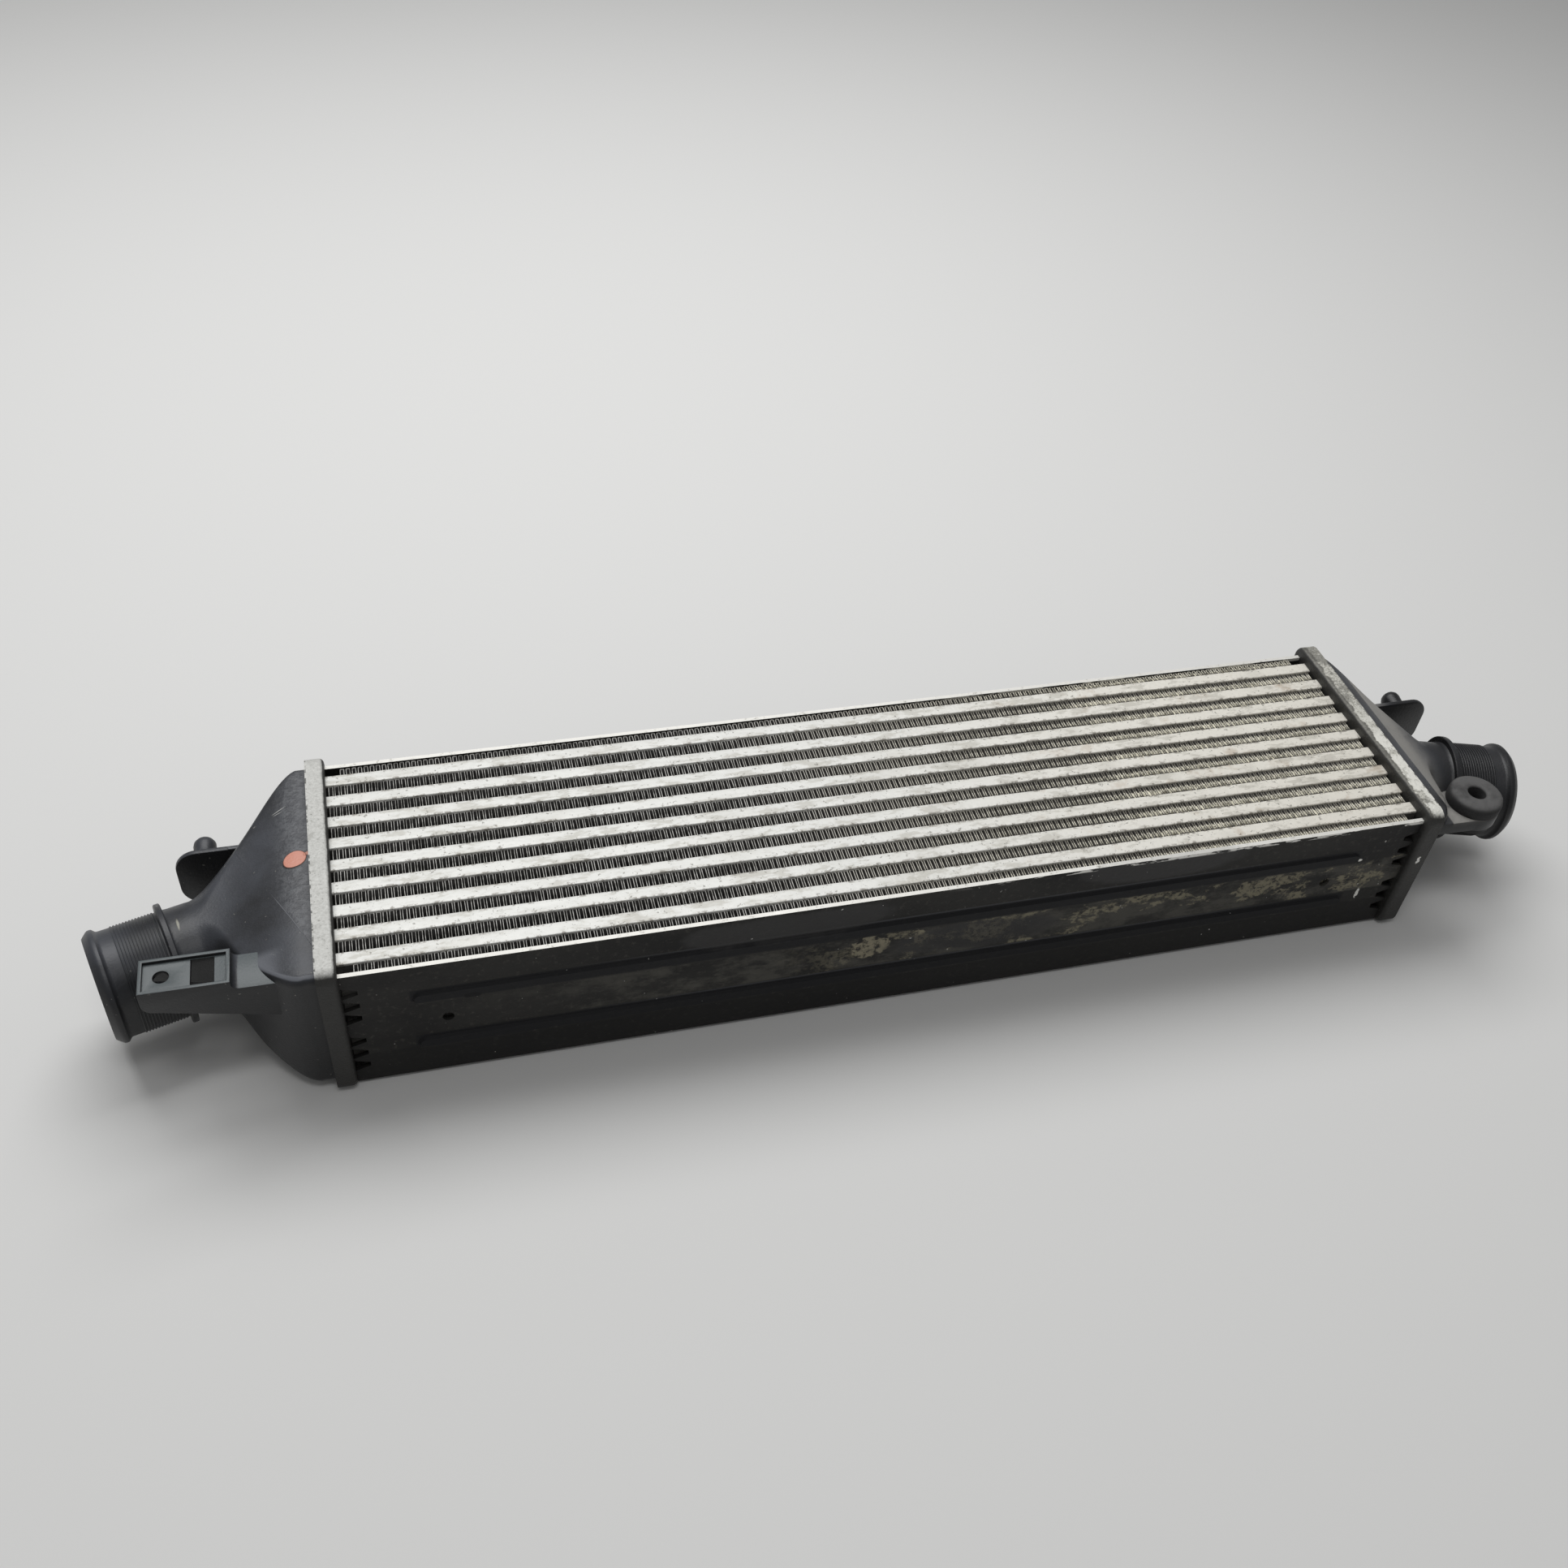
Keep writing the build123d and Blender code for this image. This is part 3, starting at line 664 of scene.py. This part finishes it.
colour = tray.mix(tray.ramp(tray.x, -0.1, 0.1), clean, greasy)
# Faces that do not face upwards get painted shade colours, with a ragged border.
upward = tray.ramp(tray.frayed(tray.facing_z, 0.0035, 0.4), 0.62, 0.9)
shaded = tray.mix(lumpy, side_shade_dark, side_shade_grey)
lip = tray.larger(tray.ramp(tray.x, -0.2984, -0.2988), tray.ramp(tray.x, 0.3198, 0.3202))
dashes = tray.times(lip, tray.ramp(tray.noise(0.0022, 3.0, 0.6, shift=(0, 0.07, 0)), 0.50, 0.58))
colour = tray.over(colour, dashes, 0.8, dash_dark)
colour = tray.mix(upward, shaded, colour)
# A painted glint of light on the right tray's front face.
painted_glint = tray.spot((0.3155, -0.0800, 0.058), (0.0012, 0.004, 0.0026), 0.3, 3.4, 0.0016)
colour = tray.mix(painted_glint, colour, bright_scuff_and_glint)
tray_finish = tray.done(
    colour,
    tray.blend(lumpy, 0.45, 0.68),
    tray.times(upward, 0.25),
    tray.sum(tray.times(lumpy, 1.6), tray.times(fine, 0.9)),
    0.0004,
)
for name in ("header_plate_left", "header_plate_right"):
    dress(name, tray_finish)

# ---- seals: one moulded black rubber frame at each end, squeezed between the tray and the foot
# of the tank by the crimped tabs, which hide it.
seal_dark, seal_pale = (0.012, 0.012, 0.012, 1), (0.03, 0.03, 0.03, 1)
rubber = Finish("seal rubber")
pores = rubber.noise(0.0012, 3.0)
seal_colour = rubber.mix(pores, seal_dark, seal_pale)
seal_finish = rubber.done(seal_colour, rubber.blend(pores, 0.6, 0.8), 0.0, pores)
for name in ("tank_seal_left", "tank_seal_right"):
    dress(name, seal_finish)

# ---- end tanks: black glass-filled nylon, one moulding each: foot, funnel, neck and beaded
# hose spigot, a peg ear at the rear and a slotted arm or a bush eye at the front.
arc_steps = 14
long_steps = 20
short_steps = 12
foot_top = 8.5
seal_top = 4.0
well_size = (157.0, 90.0, 6.5)
body_size = (151.0, 84.0, 5.0)
wall = 2.8
spigot_radius = 28.0
spigot_bore = 25.0
spigot_offset = 16.4
ring_reaches = {-1: 82.4, 1: 61.0}
eye_middle = (43.2, -61.5)
eye_radius, bore_radius = 15.6, 12.0
eye_bottom, eye_top = 25.5, 34.0
across_axis, up_axis = 1, 2
tilt = radians(16)
neck_length = 13.0
funnel_steps = 44
tray_middle = 46.5
core_ends = {-1: -289.3, 1: 310.7}


def at_end(end, point):
    """Place of a point given outwards from the tray, across and up from its middle, in mm."""
    return Vector((core_ends[end] + end * point[0], point[1], tray_middle + point[2])) * mm


def ring_points(middle, turn, wide, tall, corner):
    """Rounded rectangle, square to a direction turned from the core's length, as a list of points."""
    return [
        (middle[0] + across * sin(turn), middle[1] + across * cos(turn), middle[2] + up)
        for across, up in rounded(wide, tall, corner, arc_steps, long_steps, short_steps)
    ]


def funnel_rings(straight, ring_reach, inset, lip):
    """Rings that ease from the foot's rectangle to the tilted round neck, set in by a wall."""
    rings = []
    start_x = foot_top + straight
    end_x = ring_reach - neck_length * cos(tilt)
    end_y = -spigot_offset + neck_length * sin(tilt)
    across = 2 * (spigot_radius - lip - inset)
    for step in range(funnel_steps + 1):
        along = step / funnel_steps
        ease = (1 - cos(pi * along**0.85)) / 2
        turn = tilt * ease**6
        sway = 1 - (1 - along) ** 1.5
        wide = (body_size[0] - 2 * inset) * (1 - ease) + across * ease
        tall = (body_size[1] - 2 * inset) * (1 - ease) + across * ease
        corner = (body_size[2] - inset) * (1 - ease**5) + across / 2 * ease**5
        middle = (start_x + (end_x - start_x) * along, end_y * sway, 0)
        rings.append(ring_points(middle, turn, wide, tall, corner))
    return rings


def spigot_rings(ring_reach, profile):
    """Round rings along the spigot's tilted axis, by reach from the stop ring and radius."""
    rings = []
    for reach, radius in profile:
        middle = (ring_reach + reach * cos(tilt), -spigot_offset - reach * sin(tilt), 0)
        rings.append(ring_points(middle, tilt, 2 * radius, 2 * radius, radius))
    return rings


spigot_profile = [
    (-9.0, spigot_radius),
    (-4.0, spigot_radius),
    (-2.2, 28.15),
    (-1.6, 28.6),
    (-1.6, 31.5),
    (-1.1, 32.0),
    (1.1, 32.0),
    (1.6, 31.5),
    (1.6, 28.4),
    (2.0, spigot_radius),
    (30.0, spigot_radius),
    (30.8, 28.25),
    (31.6, 29.1),
    (32.3, 29.85),
    (33.3, 30.0),
    (34.5, 29.85),
    (35.4, 29.2),
    (37.4, 27.3),
    (38.0, 26.6),
    (38.0, 25.5),
    (37.5, spigot_bore),
    (30.0, spigot_bore),
    (0.0, spigot_bore),
    (-12.0, spigot_bore),
]


def tank_shell(end, straight, ring_reach):
    """Foot, funnel and spigot, outside and inside, as one closed skin."""
    body_inside = (body_size[0] - 2 * wall, body_size[1] - 2 * wall, body_size[2] - wall)
    rings = [ring_points((seal_top, 0, 0), 0, *body_inside)]
    rings.append(ring_points((seal_top, 0, 0), 0, *well_size))
    rings.append(ring_points((foot_top, 0, 0), 0, *well_size))
    rings.append(ring_points((foot_top, 0, 0), 0, *body_size))
    rings.extend(funnel_rings(straight, ring_reach, 0, 0))
    rings.extend(spigot_rings(ring_reach, spigot_profile))
    rings.extend(reversed(funnel_rings(straight, ring_reach, wall, 0.2)))
    return skin([[at_end(end, point) for point in ring] for ring in rings])


def prism(end, outline, sides, axis):
    """Solid drawn out from a closed outline: axis says which of reach, across and up it runs along."""
    made = bmesh.new()
    rows = []
    for level in sides:
        row = []
        for a, b in outline:
            point = [(level, a, b), (a, level, b), (a, b, level)][axis]
            row.append(made.verts.new(at_end(end, point)))
        rows.append(row)
    made.faces.new(rows[0])
    made.faces.new(rows[1])
    for step in range(len(outline)):
        after = (step + 1) % len(outline)
        made.faces.new((rows[0][step], rows[0][after], rows[1][after], rows[1][step]))
    bmesh.ops.recalc_face_normals(made, faces=made.faces)
    mesh = bpy.data.meshes.new("prism")
    made.to_mesh(mesh)
    made.free()
    piece = bpy.data.objects.new("prism", mesh)
    bpy.context.scene.collection.objects.link(piece)
    return piece


def arc(middle, radius, start, stop, steps):
    """Points on an arc, angles in degrees."""
    points = []
    for step in range(steps + 1):
        angle = radians(start + (stop - start) * step / steps)
        points.append((middle[0] + radius * cos(angle), middle[1] + radius * sin(angle)))
    return points


def carve(piece, cutters, soften):
    """Take the cutters out of a piece, round its edges a little and keep the plain mesh."""
    for cutter in cutters:
        cut = piece.modifiers.new("cut", "BOOLEAN")
        cut.operation = "DIFFERENCE"
        cut.object = cutter
        cut.solver = "EXACT"
    edge = piece.modifiers.new("edge", "BEVEL")
    edge.width = soften * mm
    edge.segments = 2
    edge.limit_method = "ANGLE"
    edge.angle_limit = radians(35)
    bpy.context.view_layer.update()
    mesh = bpy.data.meshes.new_from_object(piece.evaluated_get(bpy.context.evaluated_depsgraph_get()))
    for used in [piece] + cutters:
        bpy.data.objects.remove(used)
    return mesh


def turned(end, middle, axis, profile, steps):
    """Solid turned about the across or up axis, from reach along that axis and radius."""
    made = bmesh.new()
    rows = []
    for along, radius in profile:
        row = []
        for step in range(steps):
            angle = 2 * pi * step / steps
            a, b = radius * cos(angle), radius * sin(angle)
            if axis == across_axis:
                point = (middle[0] + a, middle[1] + along, middle[2] + b)
            else:
                point = (middle[0] + a, middle[1] + b, middle[2] + along)
            row.append(made.verts.new(at_end(end, point)))
        rows.append(row)
    for here, there in zip(rows, rows[1:] + rows[:1]):
        for step in range(steps):
            after = (step + 1) % steps
            made.faces.new((here[step], here[after], there[after], there[step]))
    bmesh.ops.remove_doubles(made, verts=made.verts, dist=0.01 * mm)
    bmesh.ops.recalc_face_normals(made, faces=made.faces)
    return made


nylon_black, nylon_grey = (0.0085, 0.0087, 0.0095, 1), (0.016, 0.0165, 0.018, 1)
sheen_blue = (0.070, 0.076, 0.092, 1)
speck_pale = (0.30, 0.29, 0.26, 1)


def nylon_finish(name):
    """Moulded black nylon with a fine spark-eroded grain: the finish begun, its colour and its height."""
    nylon = Finish(name)
    grain = nylon.noise(0.0007, 3.0, 0.6)
    cloud = nylon.noise(0.02, 4.0, 0.6)
    colour = nylon.mix(cloud, nylon_black, nylon_grey)
    # Painted sheen: faces turned upwards are lighter and bluer, mottled by the clouds.
    upward_sheen = nylon.times(nylon.ramp(nylon.facing_z, 0.2, 0.95), nylon.ramp(cloud, 0.2, 0.8))
    colour = nylon.over(colour, upward_sheen, 0.8, sheen_blue)
    specks = nylon.ramp(nylon.noise(0.0011, 2.0, 0.5, shift=(0.5, 0.2, 0)), 0.725, 0.755)
    colour = nylon.over(colour, specks, 0.45, speck_pale)
    return nylon, colour, grain, nylon.blend(cloud, 0.36, 0.47)


paint_salmon = (0.68, 0.29, 0.21, 1)
dab_shadow_black = (0.004, 0.004, 0.004, 1)
dry_scratch = (0.50, 0.50, 0.48, 1)
neck_scuff = (0.42, 0.41, 0.33, 1)
pebble_dark, pebble_pale = (0.055, 0.058, 0.066, 1), (0.115, 0.12, 0.13, 1)
crease_highlight_pale = (0.30, 0.31, 0.33, 1)
arm_sheen_grey = (0.105, 0.125, 0.130, 1)
edge_highlight_grey = (0.20, 0.21, 0.235, 1)
neck_shade_black = (0.008, 0.008, 0.009, 1)
settled_dust = (0.31, 0.30, 0.28, 1)
nylon, colour, height, roughness = nylon_finish("left tank nylon")
flat_top = nylon.ramp(nylon.facing_z, 0.93, 0.985)
pebbled = nylon.times(nylon.beyond((-0.3192, -0.0132, 0), (0.9048, 0.4267, 0), 0.0008), flat_top)
pebbles = nylon.noise(0.0016, 3.0, 0.65)
pebble_colour = nylon.mix(nylon.ramp(pebbles, 0.42, 0.62), pebble_dark, pebble_pale)
colour = nylon.over(colour, pebbled, 0.75, pebble_colour)
height = nylon.sum(height, nylon.times(nylon.times(pebbles, pebbled), 2.5))
# A painted highlight runs along the diagonal crease of the flat top.
crease_highlight = nylon.spot((-0.3109, -0.0308, 0.0885), (0.0002, 0.0170, 0.01), 0.8, 0.0, 0.001, atan2(16.6, 35.2))
colour = nylon.over(colour, crease_highlight, 0.5, crease_highlight_pale)
# Painted sheen: the arm's flat top is lighter and bluer.
arm_top_sheen = nylon.times(nylon.ramp(nylon.y, -0.0460, -0.0475), nylon.ramp(nylon.z, 0.08835, 0.08815))
arm_top_sheen = nylon.times(arm_top_sheen, nylon.beyond((-0.3300, -0.0420, 0), (-0.8768, -0.4808, 0), 0.0008))
arm_top_sheen = nylon.times(arm_top_sheen, flat_top)
colour = nylon.over(colour, arm_top_sheen, 0.8, arm_sheen_grey)
# A painted highlight along the rounded front edge of the top.
edge_highlight = nylon.times(nylon.ramp(nylon.y, -0.0480, -0.0540), nylon.ramp(nylon.x, -0.3340, -0.3270))
edge_highlight = nylon.times(edge_highlight, nylon.between(nylon.facing_z, 0.66, 0.80, 0.92, 0.97))
colour = nylon.over(colour, edge_highlight, 0.7, edge_highlight_grey)
# Marks on the top: first a painted shadow under the lower edge of the paint dab, then the dab, its tail,
# two dry scratches and a scuff on the neck.
for centre, size, soft, ragged, lump, angle, share, paint, rise in (
    ((-0.3068, 0.0051, 0.0885), (0.0064, 0.0054, 0.01), 0.12, 0.10, 0.006, 35, 1.0, dab_shadow_black, 0.0),
    ((-0.3066, 0.0060, 0.0885), (0.0062, 0.0052, 0.01), 0.10, 0.10, 0.006, 35, 1.0, paint_salmon, 4.0),
    ((-0.2997, 0.0092, 0.0885), (0.0026, 0.0012, 0.01), 0.3, 0.5, 0.002, 20, 0.8, paint_salmon, 2.0),
    ((-0.3140, 0.0444, 0.0880), (0.0036, 0.00028, 0.01), 0.8, 0.5, 0.001, 27, 0.8, dry_scratch, -1.0),
    ((-0.3145, 0.0423, 0.0880), (0.0024, 0.00025, 0.01), 0.8, 0.5, 0.001, 19, 0.7, dry_scratch, -1.0),
    ((-0.3655, -0.0155, 0.0725), (0.0006, 0.0036, 0.006), 0.8, 0.8, 0.002, 12, 0.7, neck_scuff, 0.5),
):
    patch = nylon.spot(centre, size, soft, ragged, lump, radians(angle))
    colour = nylon.over(colour, patch, share, paint)
    height = nylon.sum(height, nylon.times(patch, rise))
left_nylon = nylon.done(colour, roughness, 0.0, height, 0.00012)

nylon, colour, height, roughness = nylon_finish("right tank nylon")
dusty_cloud = nylon.ramp(nylon.noise(0.012, 5.0, 0.65), 0.10, 0.50)
settled = nylon.times(nylon.ramp(nylon.facing_z, 0.0, 0.7), dusty_cloud)
funnel_part = nylon.times(
    nylon.ramp(nylon.frayed(nylon.x, 0.008, 0.0012), 0.3322, 0.3332), nylon.ramp(nylon.x, 0.3610, 0.3400)
)
eye_part = nylon.times(nylon.ramp(nylon.y, -0.0500, -0.0540), nylon.ramp(nylon.facing_z, 0.5, 0.9))
eye_part = nylon.times(eye_part, nylon.ramp(nylon.x, 0.3328, 0.3338))
foot_part = nylon.times(nylon.ramp(nylon.x, 0.3330, 0.3325), 0.05)
dusted = nylon.times(settled, nylon.larger(nylon.larger(funnel_part, eye_part), foot_part))
# Painted shade darkens the right tank's neck and spigot.
colour = nylon.over(colour, nylon.ramp(nylon.x, 0.3500, 0.3660), 0.8, neck_shade_black)
colour = nylon.over(colour, dusted, 0.9, settled_dust)
right_nylon = nylon.done(colour, nylon.blend(dusted, roughness, 0.75), 0.0, height, 0.00012)

arm_front, arm_back = -69.5, -48.0
low_top, rim_top = 36.0, 41.5
arm_root, arm_step, arm_tip = 8.5, 49.0, 91.0
step_round, tip_round = 3.5, 6.0
tip_bottom = 28.0
root_bottom = tip_bottom - (arm_tip - arm_root) * tan(radians(15))
channel_floor, channel_sheet = 39.7, 2.5
arm_rim = 1.9
outline = [(arm_root, root_bottom), (arm_root, low_top), (arm_step - step_round, low_top)]
outline += arc((arm_step - step_round, low_top + step_round), step_round, -90, 0, 5)[1:]
outline += [(arm_step, rim_top), (arm_tip, rim_top)]
outline += arc((arm_tip - tip_round, tip_bottom + 4.5), tip_round, 0, -90, 6)
arm = prism(-1, outline, (arm_front, arm_back), across_axis)
well_front, well_back = arm_front + arm_rim, arm_back - arm_rim
window_start, window_stop, window_edge = 56.5, 67.3, 0.6
bolt_place, bolt_radius = 80.8, 3.7
clear = 5


def box_outline(start, stop, front, back):
    return [(start, front), (stop, front), (stop, back), (start, back)]


well = box_outline(arm_step + arm_rim, arm_tip - arm_rim, well_front, well_back)
opening = box_outline(window_start, window_stop, well_front + window_edge, well_back - window_edge)
through = (20, rim_top + clear)
channel = prism(-1, well, (channel_floor, rim_top + clear), up_axis)
hollow = prism(-1, well, (-10, channel_floor - channel_sheet), up_axis)
window = prism(-1, opening, through, up_axis)
bolt_middle = (bolt_place, (arm_front + arm_back) / 2)
bolt_hole = prism(-1, arc(bolt_middle, bolt_radius, 0, 345, 23), through, up_axis)
arm_mesh = carve(arm, [channel, hollow, window, bolt_hole], 0.5)

peg_height = 14.0
peg_profile = [
    (0, 0.0), (0, 8.6), (0.6, 8.2), (1.6, 7.0), (3.0, 6.0), (5.0, 5.5), (8.5, 5.4), (11.0, 5.7),
    (13.2, 6.0), (15.2, 5.8), (17.0, 4.7), (18.3, 3.0), (18.9, 1.3), (19.0, 0.0),
]
ear_margin = 14.5
ear_front, ear_back = 34.5, 37.5
ear_round = 12.0
web_front, web_back = -75.5, -52.5
for end, straight, peg_reach, name, material in (
    (-1, 7.0, 66.5, "tank_moulding_left", left_nylon),
    (1, 3.0, 63.0, "tank_moulding_right", right_nylon),
):
    made = tank_shell(end, straight, ring_reaches[end])
    ear_reach = peg_reach + ear_margin
    outline = [(foot_top, -ear_round)]
    outline += arc((ear_reach - ear_round, 0.0), ear_round, -90, 0, 8)
    outline += arc((ear_reach - ear_round, peg_height), ear_round, 0, 90, 8)
    outline += [(foot_top, peg_height + ear_round)]
    ear_mesh = carve(prism(end, outline, (ear_front, ear_back), across_axis), [], 0.6)
    made.from_mesh(ear_mesh)
    peg = turned(end, (peg_reach, ear_back - 0.5, peg_height), across_axis, peg_profile, 32)
    peg_mesh = bpy.data.meshes.new("peg")
    peg.to_mesh(peg_mesh)
    made.from_mesh(peg_mesh)
    if end == -1:
        made.from_mesh(arm_mesh)
    else:
        outline = [(foot_top, web_front)] + arc(eye_middle, eye_radius, -112, 68, 30)
        outline += [(14.5, web_back), (foot_top, web_back)]
        eye = prism(end, outline, (eye_bottom, eye_top), up_axis)
        bore = prism(end, arc(eye_middle, bore_radius, 0, 352.5, 47), (20, 40), up_axis)
        made.from_mesh(carve(eye, [bore], 0.8))
    piece = finish_shell(name, made, material)
    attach(piece, "root")
    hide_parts("end_tank_left" if end == -1 else "end_tank_right")

# ---- rubber bush: soft black rubber moulding with a locating hole for the mounting pin. A waist
# between its two flanges snaps into the eye of the right tank.
rubber_black, rubber_grey = (0.018, 0.018, 0.019, 1), (0.036, 0.035, 0.035, 1)
rubber_dust = (0.135, 0.133, 0.132, 1)
bush = Finish("bush rubber")
pores = bush.noise(0.001, 3.0, 0.6)
dusting = bush.times(bush.ramp(bush.facing_z, 0.2, 0.9), bush.ramp(bush.noise(0.006, 4.0), 0.2, 0.65))
colour = bush.mix(pores, rubber_black, rubber_grey)
colour = bush.over(colour, dusting, 0.85, rubber_dust)
bush_finish = bush.done(colour, 0.75, 0.0, pores, 0.00025, 0.3)
bush_profile = [
    (21.5, 5.0), (21.5, 13.6), (22.2, 14.4), (eye_bottom, 14.5), (eye_bottom, bore_radius),
    (eye_top, bore_radius), (eye_top, 15.2), (34.6, 15.6), (39.0, 15.5), (40.8, 15.0),
    (41.9, 13.9), (42.4, 12.2), (42.5, 9.0), (42.4, 6.4), (41.9, 5.5), (41.0, 5.0),
]
bush_shape = turned(1, (*eye_middle, 0.0), up_axis, bush_profile, 64)
piece = finish_shell("rubber_bush", bush_shape, bush_finish, 50)
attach(piece, "root")
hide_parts("mounting_grommet")

# ---- spigot ribs: fine rings moulded round each hose spigot, in one piece with the nylon tank,
# to grip the inside of the hose.
rib_count = 14
rib_pitch = 1.55
rib_height = 0.55
rib_start = 3.4
ribs, given = new_tree(
    "spigot ribs",
    {
        "Count": rib_count,
        "Pitch": rib_pitch * mm,
        "Radius": spigot_radius * mm,
        "Thickness": rib_height * mm,
        "First": (0, 0, 0),
        "Outwards": (1, 0, 0),
    },
)
step = linked(ribs, "ShaderNodeVectorMath", given["Outwards"], operation="SCALE")
ribs.links.new(given["Pitch"], step.inputs["Scale"])
places = linked(
    ribs, "GeometryNodeMeshLine", given["Count"], None, given["First"], step.outputs[0], mode="OFFSET"
)
hoop = linked(ribs, "GeometryNodeCurvePrimitiveCircle", 96)
ribs.links.new(given["Radius"], hoop.inputs["Radius"])
bead = linked(ribs, "GeometryNodeCurvePrimitiveCircle", 6)
ribs.links.new(given["Thickness"], bead.inputs["Radius"])
hoop = linked(ribs, "GeometryNodeCurveToMesh", hoop.outputs[0], bead.outputs[0])
hoop = linked(ribs, "GeometryNodeSetShadeSmooth", hoop.outputs[0])
rows = linked(ribs, "GeometryNodeInstanceOnPoints", places.outputs[0], None, hoop.outputs[0])
align = linked(ribs, "FunctionNodeAlignRotationToVector", None, None, given["Outwards"], axis="Z")
ribs.links.new(align.outputs[0], rows.inputs["Rotation"])
close_tree(ribs, rows, given["Finish"])
for end, name, material in (
    (-1, "spigot_ribs_left", left_nylon),
    (1, "spigot_ribs_right", right_nylon),
):
    outwards = Vector((end * cos(tilt), -sin(tilt), 0))
    reach = ring_reaches[end] + rib_start * cos(tilt)
    first = at_end(end, (reach, -spigot_offset - rib_start * sin(tilt), 0))
    piece = bake_out(name, ribs, {"First": first, "Outwards": outwards}, material)
    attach(piece, "root")

# ---- stage: a plain pale floor under the cooler, a large soft lamp above its rear, a weak one
# above its front, and the camera.
floor_mesh = bpy.data.meshes.new("floor")
floor_mesh.from_pydata([(-6, -6, 0), (6, -6, 0), (6, 6, 0), (-6, 6, 0)], [], [(0, 1, 2, 3)])
floor = bpy.data.objects.new("floor", floor_mesh)
bpy.context.scene.collection.objects.link(floor)
floor_grey = (0.78, 0.78, 0.77, 1)
floor_mesh.materials.append(Finish("pale floor").done(floor_grey, 0.8))

world = bpy.data.worlds.new("studio")
bpy.context.scene.world = world
world.use_nodes = True
world.node_tree.nodes["Background"].inputs[0].default_value = (1.0, 1.0, 1.0, 1)
world.node_tree.nodes["Background"].inputs[1].default_value = 0.23


def soft_lamp(name, place, aim, size, power):
    lamp = bpy.data.lights.new(name, "AREA")
    lamp.shape = "RECTANGLE"
    lamp.size, lamp.size_y = size
    lamp.energy = power
    holder = bpy.data.objects.new(name, lamp)
    bpy.context.scene.collection.objects.link(holder)
    holder.location = place
    holder.rotation_euler = (Vector(aim) - Vector(place)).to_track_quat("-Z", "Y").to_euler()


soft_lamp("overhead lamp", (-0.15, 0.9, 1.7), (0.05, 0, 0), (1.8, 1.2), 26)
soft_lamp("front lamp", (-0.2, -0.6, 1.9), (0, 0, 0), (0.6, 0.4), 4)

camera_data = bpy.data.cameras.new("camera")
camera_data.lens = 35.097
camera_data.sensor_width = 36.0
camera = bpy.data.objects.new("camera", camera_data)
bpy.context.scene.collection.objects.link(camera)
rightwards = Vector((0.96633069, -0.24689533, 0.07244099))
downwards = Vector((-0.12070869, -0.68363267, -0.71977481))
ahead = Vector((0.22723207, 0.68679623, -0.69041765))
turn = Matrix((rightwards, -downwards, -ahead)).transposed().to_4x4()
camera.matrix_world = Matrix.Translation((-0.23738, -0.56930, 0.67674)) @ turn
bpy.context.scene.camera = camera
bpy.context.scene.view_settings.view_transform = "Standard"
